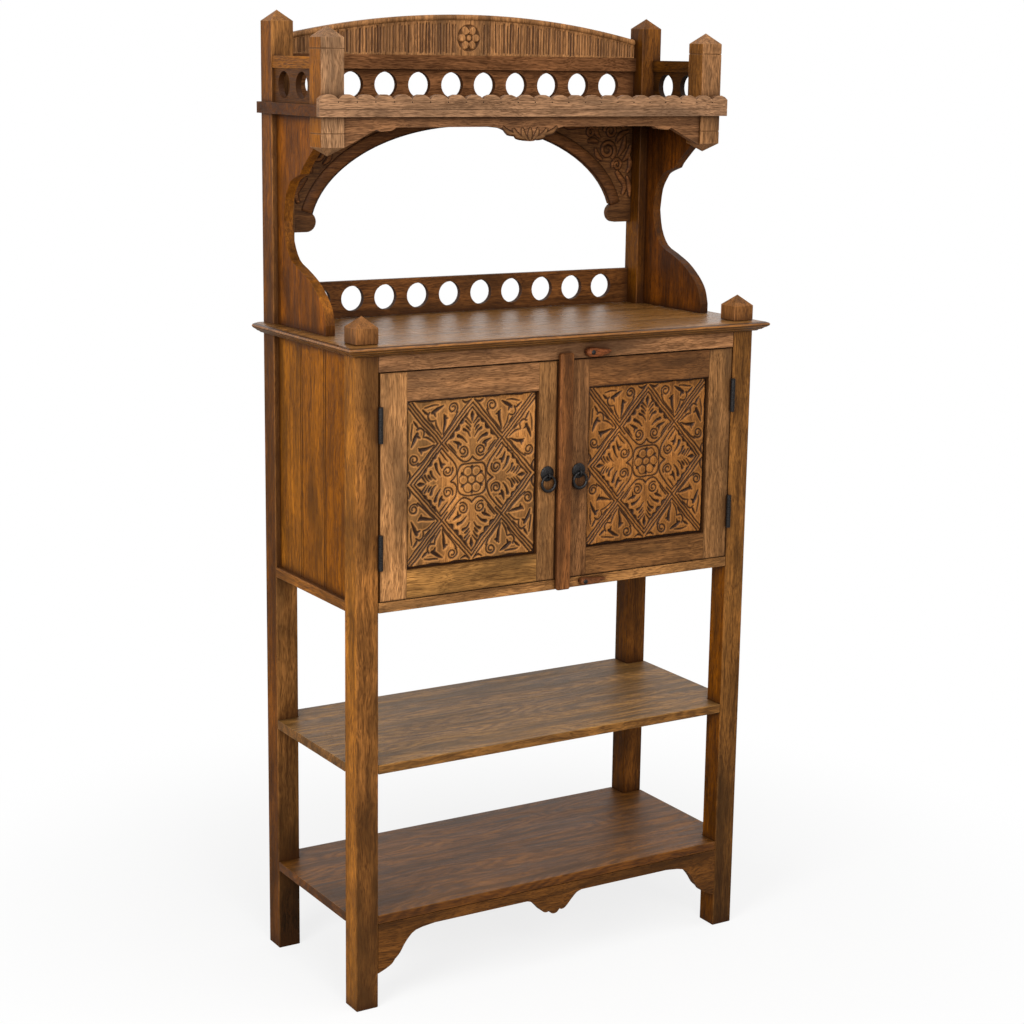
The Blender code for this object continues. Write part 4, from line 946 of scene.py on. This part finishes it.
def carvedPanel(side, phase, seed):
    node = f"{side}_door_panel"
    low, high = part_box(node)
    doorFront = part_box(f"{side}_door_hinge_stile")[0].y
    middle = np.array((low + high) / 2)
    halfX = (high.x - low.x) / 2 - panelRelief["play"]
    halfZ = (high.z - low.z) / 2 - panelRelief["play"]
    across, up = np.linspace(-halfX, halfX, carving["columns"]), np.linspace(-halfZ, halfZ, carving["rows"])
    x, z = np.meshgrid(across, up)
    depth, stainAndShade, rubbed = carve(x * 1000, z * 1000, phase)
    front = np.stack([middle[0] + x, doorFront + panelRelief["front"] + depth / 1000, middle[2] + z], 2)
    grown = np.array([(high.x - low.x) / 2 / halfX, 1, (high.z - low.z) / 2 / halfZ])

    def loop(scale, y):
        def step(border):
            border = middle + (border - middle) * scale
            border[:, 1] = doorFront + y
            return border
        return step

    # the plain tongue that stands in the door's grooves, then the back
    tongueFront, tongueBack = panelRelief["tongueFront"], panelRelief["tongueBack"]
    rim = [loop(1, tongueFront), loop(grown, tongueFront), loop(grown, tongueBack)]
    mesh = closedRelief(f"{side}_carved_panel", front, rim)
    # the tongue's two front loops are as dark as the cuts
    loopPoints = 2 * (carving["columns"] + carving["rows"] - 2)
    stainMesh(mesh, np.append(stainAndShade, np.ones(2 * loopPoints)))
    stainMesh(mesh, rubbed.ravel(), "rubbed")
    mesh.materials.append(wood(f"carved_mango_{side}_panel", seed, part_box(node), **panelLooks[side]))
    keepPiece(mesh.name, mesh, f"{side}_door", [node])


carvedPanel("left", 1, 61)
carvedPanel("right", 2, 62)
print("door panels carved")

# arched crest: hand-cut upright gouges between a rosette and the posts, under a plain proud band, in metres
crest = {
    "pitch": 0.0064,
    "depth": 0.0022,
    "band": 0.0105,
    "bandProud": 0.0036,
    # the band from its foot to its top: height, how far it stands proud and its stain with painted
    # shade, as shares
    "bandProfile": [
        (0.0, 0.0, 0.75),
        (0.12, 0.85, 0.1),
        (0.5, 1.0, 0.0),
        (0.85, 0.9, 0.0),
        (1.0, 0.55, 0.05),
    ],
    "thick": 0.0155,
    "endRise": 0.0350,
    "plain": 0.0275,
    "plainSoft": 0.0015,
    "endPlay": 0.0002,
    "footPlay": 0.0004,
    "columns": 860,
    "rows": 62,
    # uneven gouges: stray, half width, depth, start, stop and lean
    "seed": 7,
    "spare": 6,
    "stray": 0.0011,
    "halves": (0.0011, 0.0027),
    "depths": (0.45, 1.15),
    "starts": (0.0, 0.07),
    "stops": (0.90, 1.0),
    "lean": 0.0012,
    "runOut": 0.06,
    # share of stain and painted shade in the gouges
    "stainAndShade": 1.2,
    "look": {"tone": "#95683f", "stained": True, "wearShare": 0.0, "poreShare": 0.5},
}
# the crest's rosette of six petals in a sunken ring, in millimetres
rosette = {
    "ring": (25.8, 1.6),
    "petals": 6,
    "petalAt": 15.8,
    "petalLong": 9.0,
    "petalWide": 8.1,
    "petalSteep": 7,
    "core": 6.0,
    "rise": (0.5, 2.4),
    "eye": (6.8, 1.1),
    "sunk": 2.4,
    "raised": 4.4,
    "eyeSunk": 1.8,
    # stain and painted shade on the sunk ground and in the eye
    "groundStain": 0.82,
    "eyeStain": 0.6,
    "mostStain": 0.9,
}


def carveRosette(u, v):
    # depth in metres and stain with painted shade of the rosette, nought outside its ring
    away = np.hypot(u, v)
    half = rosette["petals"] / 2
    turn = np.arctan2(v, u) * half / math.pi
    aside = np.abs(turn - np.round(turn)) * math.pi / half * away
    petals = np.hypot((away - rosette["petalAt"]) / rosette["petalLong"], aside / rosette["petalWide"]) - 1
    petals = np.minimum(petals * rosette["petalSteep"], away - rosette["core"])
    size, soft = rosette["ring"]
    ringed = smooth((size - away) / soft)
    start, soft = rosette["rise"]
    raised = smooth((start - petals) / soft)
    size, width = rosette["eye"]
    eye = smooth(width - np.abs(away - size))
    depth = rosette["sunk"] - rosette["raised"] * raised + rosette["eyeSunk"] * eye * raised
    stainAndShade = rosette["groundStain"] * (1 - raised) + rosette["eyeStain"] * eye
    return ringed * 0.001 * depth, ringed * np.clip(stainAndShade, 0, rosette["mostStain"])


def carvedCrest():
    low, high = (np.array(corner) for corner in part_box("fluted_crest"))
    end = high[0] - crest["endPlay"]
    crown, foot, back = high[2], low[2] - crest["footPlay"], high[1]
    face = back - crest["thick"]
    rise = crown - foot - crest["endRise"]
    radius = (end**2 + rise**2) / (2 * rise)
    across = np.linspace(-end, end, crest["columns"])
    top = crown - radius + np.sqrt(radius**2 - across**2)
    inner = top - crest["band"]
    up = np.linspace(0, 1, crest["rows"])[:, None]
    x = np.repeat(across[None, :], crest["rows"], 0)
    z = foot + up * (inner - foot)[None, :]
    # gouges of uneven width, depth and length
    cuts = np.random.default_rng(crest["seed"])
    count = int(end / crest["pitch"]) * 2 + crest["spare"]
    centres = (np.arange(count) - count / 2 + 0.5) * crest["pitch"]
    centres = centres + cuts.uniform(-crest["stray"], crest["stray"], count)
    halves = cuts.uniform(*crest["halves"], count)
    depths = crest["depth"] * cuts.uniform(*crest["depths"], count)
    starts = cuts.uniform(*crest["starts"], count)
    stops = cuts.uniform(*crest["stops"], count)
    leans = cuts.uniform(-crest["lean"], crest["lean"], count)
    nearest = np.abs(x[..., None] - centres - leans * (up[..., None] - 0.5)).argmin(2)
    apart = np.abs(x - centres[nearest] - leans[nearest] * (up - 0.5))
    bowl = np.clip(1 - (apart / halves[nearest]) ** 2, 0, 1)
    bowl *= smooth((up - starts[nearest]) / crest["runOut"]) * smooth((stops[nearest] - up) / crest["runOut"])
    bowl *= smooth((np.abs(x) - crest["plain"]) / crest["plainSoft"])
    # stain and painted shade in each gouge, more in the deeper ones
    stainAndShade = smooth(bowl * crest["stainAndShade"]) * depths[nearest] / depths.max()
    middle = foot + (crown - crest["band"] - foot) / 2
    flowerDepth, flowerStain = carveRosette(x * 1000, (z - middle) * 1000)
    y = face + depths[nearest] * bowl + flowerDepth
    stainAndShade = np.maximum(stainAndShade, flowerStain)
    # the band, rounded over at its top
    bandUp, proud, bandStain = np.array(crest["bandProfile"]).T[:, :, None]
    bandX = np.repeat(across[None, :], len(bandUp), 0)
    bandY = face - np.repeat(proud * crest["bandProud"], len(across), 1)
    bandZ = inner + crest["endPlay"] + bandUp * (crest["band"] - crest["endPlay"])
    both = [np.concatenate(pair) for pair in ((x, bandX), (y, bandY), (z, bandZ))]

    def toBack(border):
        border[:, 1] = back
        return border

    mesh = closedRelief("carved_crest", np.stack(both, 2), [toBack])
    stainMesh(mesh, np.concatenate([stainAndShade, np.repeat(bandStain, len(across), 1)]).ravel())
    mesh.materials.append(wood("gouged_mango_crest", 71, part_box("fluted_crest"), **crest["look"]))
    keepPiece("carved_crest", mesh, "frame", ["fluted_crest"])


carvedCrest()
print("crest carved")

# low relief laid on plain boards, in metres: rounded ridges on a ground dark with stain and painted shade,
# sunk a little into the board
relief = {
    "shoulder": 0.45,
    "sink": 0.0004,
    "groundLift": 0.0005,
    "groundStain": 0.95,
    "fullHalf": 0.002,
    "footStain": 0.85,
    "stainCurve": 0.7,
}


def ridges(name, strokes, front, tone, seed, lift, ground, flat=0.0):
    # a stroke, a line of (x, z) with half widths, becomes a closed strip over a low one, wider by ground
    tops = [(line, widths, lift, 0.0) for line, widths in strokes]
    # the low strip is darkened by stain and painted shade round each ridge
    tops += [(line, widths + ground, relief["groundLift"], relief["groundStain"]) for line, widths in strokes]
    # the strip's outline: place across it in half widths, and share of its height
    shoulder, sink = relief["shoulder"] + flat, relief["sink"]
    profile = [(-1, 0), (-0.85, 0.62), (-shoulder, 0.93), (0, 1), (shoulder, 0.93), (0.85, 0.62), (1, 0)]
    spots, faces, shares = [], [], []
    for line, widths, lifted, dark in tops:
        along = np.gradient(line, axis=0)
        along /= np.linalg.norm(along, axis=1)[:, None]
        first = len(spots)
        for (u, v), (du, dv), half in zip(line, along, widths):
            tall = lifted * min(1, half / relief["fullHalf"])
            for across, rise in profile:
                y = front + sink - rise * (tall + sink)
                spots.append((u - dv * across * half, y, v + du * across * half))
                # stain and painted shade, most at the foot of each strip
                shares.append(max(dark, relief["footStain"] * (1 - rise) ** relief["stainCurve"]))
        faces += tubeFaces(first, len(line), len(profile))
    mesh = bpy.data.meshes.new(name)
    mesh.from_pydata(spots, [], faces)
    faceOut(mesh)
    stainMesh(mesh, shares)
    mesh.materials.append(wood(f"carved_mango_{name}", seed, None, tone=tone, grain="x", **carvedLook))
    keepPiece(name, mesh, "frame")


def mirrorX(strokes):
    return strokes + [(line * (-1, 1), widths) for line, widths in strokes]


# scrolls of the arched back, on the right half, in millimetres: coils (u, v, outer, inner, start, turns, half
# width) and leaves; the arch is its half span, the height where it springs and its rise
scrolls = {
    "tone": "#724827",
    # lift and ground in metres, and for the band how flat its top is
    "form": (0.0028, 0.0022),
    "bandForm": (0.0020, 0.0014, 0.3),
    "coilSteps": 44,
    "coilSwell": 1.35,
    "leafSwell": 1.5,
    "arch": (339.1, 1398.0, 194.0),
    "band": 12.0,
    "bandSweep": (10, 90),
    "bandSteps": 60,
    "coils": [
        (324, 1542, 19, 5, -60, 1.5, 3.2),
        (348, 1513, 12, 4, 205, -1.35, 2.6),
        (330, 1580, 15, 5, 180, -1.2, 3.0),
        (283, 1578, 11, 3.5, -15, 1.3, 2.4),
        (366, 1597, 11, 4, 240, -1.2, 2.4),
    ],
    "leaves": [
        ([(362, 1452), (368, 1470), (356, 1488), (346, 1500)], [2, 4, 4, 2.5]),
        ([(380, 1448), (379, 1470), (372, 1490)], [1.5, 4, 1.5]),
        ([(372, 1496), (380, 1512), (376, 1532)], [1, 4, 1.5]),
        ([(362, 1520), (374, 1532), (380, 1552)], [1, 4.2, 1.5]),
        ([(350, 1530), (362, 1548), (366, 1570)], [1, 4.5, 1.5]),
        ([(344, 1556), (356, 1572), (376, 1580)], [1, 4.2, 1.2]),
        ([(312, 1522), (300, 1532), (294, 1546)], [1, 3.6, 1.2]),
        ([(303, 1556), (290, 1561), (276, 1560)], [1, 4.2, 1.5]),
        ([(306, 1566), (296, 1578), (300, 1592)], [1, 4, 1.5]),
        ([(346, 1592), (338, 1602), (318, 1608)], [1, 3.6, 1.2]),
        ([(268, 1588), (252, 1590), (232, 1588), (214, 1592)], [1.5, 3.6, 3.2, 1]),
        ([(258, 1602), (238, 1604), (214, 1603)], [1, 3, 1]),
        ([(296, 1604), (310, 1609), (328, 1611)], [1, 2.6, 1]),
        ([(208, 1598), (188, 1600), (166, 1601)], [0.8, 3.2, 0.8]),
    ],
}


def carvedScrolls():
    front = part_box("right_spandrel")[0].y
    steps, swell, tone = scrolls["coilSteps"], scrolls["coilSwell"], scrolls["tone"]
    strokes = []
    for *spiral, half in scrolls["coils"]:
        strokes.append((coil(*spiral, steps) / 1000, np.linspace(swell * half, half, steps) / 1000))
    for line, widths in (leaf(*entry) for entry in scrolls["leaves"]):
        strokes.append((line / 1000, scrolls["leafSwell"] * widths / 1000))
    ridges("arch_scrolls", mirrorX(strokes), front, tone, 74, *scrolls["form"])
    # plain band along the arch
    span, spring, rise = scrolls["arch"]
    steps, half = scrolls["bandSteps"], scrolls["band"]
    angle = np.radians(np.linspace(*scrolls["bandSweep"], steps))
    line = np.stack([span * np.cos(angle), spring + rise * np.sin(angle)], 1)
    out = np.stack([np.cos(angle) / span, np.sin(angle) / rise], 1)
    line += half * out / np.linalg.norm(out, axis=1)[:, None]
    band = mirrorX([(line / 1000, np.full(steps, half / 1000))])
    ridges("arch_band", band, front, tone, 75, *scrolls["bandForm"])


carvedScrolls()

# fan of leaves on the drop of the tray's valance, right half and middle, in millimetres
fan = {
    "tone": "#8a603b",
    "form": (0.0018, 0.0020),  # lift and ground in metres
    "middle": ([(0, 1574), (0, 1583), (0, 1597)], [2.0, 6.0, 0.8]),
    "leaves": [
        ([(6, 1575), (14, 1583), (17, 1596)], [1.6, 5.0, 1.4]),
        ([(12, 1576), (28, 1582), (37, 1595)], [1.4, 5.4, 1.6]),
        ([(28, 1583), (47, 1588), (59, 1598)], [1.2, 4.4, 1.2]),
    ],
}


def carvedFan():
    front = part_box("front_valance")[0].y
    strokes = mirrorX([leaf(*entry) for entry in fan["leaves"]]) + [leaf(*fan["middle"])]
    strokes = [(line / 1000, widths / 1000) for line, widths in strokes]
    ridges("valance_fan", strokes, front, fan["tone"], 76, *fan["form"])


carvedFan()
print("scrolls and fan carved")


def grow(name, tree, sizes):
    # runs a node tree once and gives back its plain mesh
    seedling = bpy.data.objects.new(name, bpy.data.meshes.new(name))
    scene.collection.objects.link(seedling)
    modifier = seedling.modifiers.new(name, "NODES")
    modifier.node_group = tree
    for item in tree.interface.items_tree:
        if item.in_out == "INPUT" and item.name in sizes:
            modifier[item.identifier] = sizes[item.name]
    grown = seedling.evaluated_get(bpy.context.evaluated_depsgraph_get())
    mesh = bpy.data.meshes.new_from_object(grown)
    mesh.name = name
    bpy.data.objects.remove(seedling)
    return mesh


# ring pulls of blacked iron, in metres, with the share by which they are thicker below
pulls = {
    "ring": 0.0142,
    "wire": 0.0021,
    "thicker": 0.42,
    "swellRange": (0.9, -0.9),
    "around": 72,
    "wireAround": 18,
}


def ringTree(material):
    # a hanging ring, thickest at the bottom
    tree = bpy.data.node_groups.new("forged_ring", "GeometryNodeTree")
    for name in ("Ring Radius", "Wire Radius", "Thicker Below"):
        tree.interface.new_socket(name, in_out="INPUT", socket_type="NodeSocketFloat")
    tree.interface.new_socket("Middle", in_out="INPUT", socket_type="NodeSocketVector")
    tree.interface.new_socket("Mesh", in_out="OUTPUT", socket_type="NodeSocketGeometry")
    add = partial(put, tree)
    given = add("NodeGroupInput", out=None)
    circle = {"Resolution": pulls["around"], "Radius": given["Ring Radius"]}
    hoop = add("GeometryNodeCurvePrimitiveCircle", circle)
    height = add("SeparateXYZ", (add("GeometryNodeInputPosition"),), "Y")
    share = add("Math", (height, given["Ring Radius"]), operation="DIVIDE")
    swell = add("MapRange", (share, *pulls["swellRange"], 0.0, given["Thicker Below"]))
    swell = add("Math", (swell, 1.0), operation="ADD")
    circle = {"Resolution": pulls["wireAround"], "Radius": given["Wire Radius"]}
    wire = add("GeometryNodeCurvePrimitiveCircle", circle)
    solid = add("GeometryNodeCurveToMesh", {"Curve": hoop, "Profile Curve": wire, "Scale": swell})
    upright = {"Geometry": solid, "Translation": given["Middle"], "Rotation": (math.pi / 2, 0, 0)}
    hung = add("GeometryNodeTransform", upright)
    even = add("GeometryNodeSetShadeSmooth", {"Geometry": hung})
    real = add("GeometryNodeRealizeInstances", {"Geometry": even})
    dressed = add("GeometryNodeSetMaterial", {"Geometry": real, "Material": material})
    add("NodeGroupOutput", (dressed,))
    return tree


def ringPull(side, seed):
    material = iron(f"forged_iron_{side}_ring", seed)
    low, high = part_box(f"{side}_pull_ring")
    sizes = {
        "Ring Radius": pulls["ring"],
        "Wire Radius": pulls["wire"],
        "Thicker Below": pulls["thicker"],
        "Middle": tuple((low + high) / 2),
    }
    mesh = grow(f"{side}_forged_ring", ringTree(material), sizes)
    keepPiece(mesh.name, mesh, f"{side}_ring", [f"{side}_pull_ring"])


ringPull("left", 81)
ringPull("right", 82)

# wooden turn buttons: a round head and a tapered, slightly bowed tongue, with both ends given from the pivot
buttons = {
    "upper": {"ends": (-0.0110, 0.0450), "half": 0.0092, "tone": "#7a4526"},
    "lower": {"ends": (-0.0080, 0.0500), "half": 0.0070, "tone": "#7a4a2a"},
}
# shape of both, as shares of the length of the tongue, apart from the bow and the play, in metres
buttonForm = {
    "stations": 30,
    "around": 24,
    "taper": 0.72,
    "taperFrom": 0.2,
    "taperCurve": 1.3,
    "headPlay": 0.0003,
    "headLeast": 0.02,
    "tipFrom": 0.88,
    "tipLeast": 0.05,
    "thinning": 0.45,
    "thinCurve": 1.4,
    "headFrom": 0.75,
    "headThick": 0.86,
    "bow": 0.0016,
    "squareness": 0.6,
}


def buttonSection(place, button, thick):
    # half width, half thickness and bow at a place along the button
    form = buttonForm
    head, tip = button["ends"]
    share = max(0, place / tip)
    tapered = max(0, (share - form["taperFrom"]) / (1 - form["taperFrom"]))
    half = button["half"] * (1 - form["taper"] * tapered ** form["taperCurve"])
    if place < 0:
        half *= math.sqrt(max(form["headLeast"], 1 - (place / (head - form["headPlay"])) ** 2))
    rounded = max(0, (share - form["tipFrom"]) / (1 - form["tipFrom"]))
    half *= math.sqrt(max(form["tipLeast"], 1 - rounded**2))
    deep = thick / 2 * (1 - form["thinning"] * share ** form["thinCurve"])
    deep *= 1 if place > form["headFrom"] * head else form["headThick"]
    return half, deep, form["bow"] * math.sin(math.pi * share)


def turnButton(level, seed):
    button, count, around = buttons[level], buttonForm["stations"], buttonForm["around"]
    low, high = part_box(f"{level}_turn_button")
    pivotX, pivotZ = low.x - button["ends"][0], (low.z + high.z) / 2
    angle = np.linspace(0, 2 * math.pi, around, endpoint=False)
    sides = np.stack([np.cos(angle), np.sin(angle)])
    up, out = np.sign(sides) * np.abs(sides) ** buttonForm["squareness"]
    rings = []
    for place in np.linspace(*button["ends"], count):
        half, deep, bow = buttonSection(place, button, high.y - low.y)
        y, z = high.y - deep + deep * out, pivotZ - bow + half * up
        rings.append(np.stack([np.full(around, pivotX + place), y, z], 1))
    mesh = bpy.data.meshes.new(f"{level}_carved_button")
    mesh.from_pydata(np.concatenate(rings).tolist(), [], tubeFaces(0, count, around))
    faceOut(mesh)
    mesh.materials.append(wood(f"oiled_mango_{level}_button", seed, None, tone=button["tone"], grain="x"))
    keepPiece(mesh.name, mesh, f"{level}_button", [f"{level}_turn_button"])


turnButton("upper", 91)
turnButton("lower", 92)
print("rings hung and buttons shaped")

scene.view_settings.view_transform = "Standard"
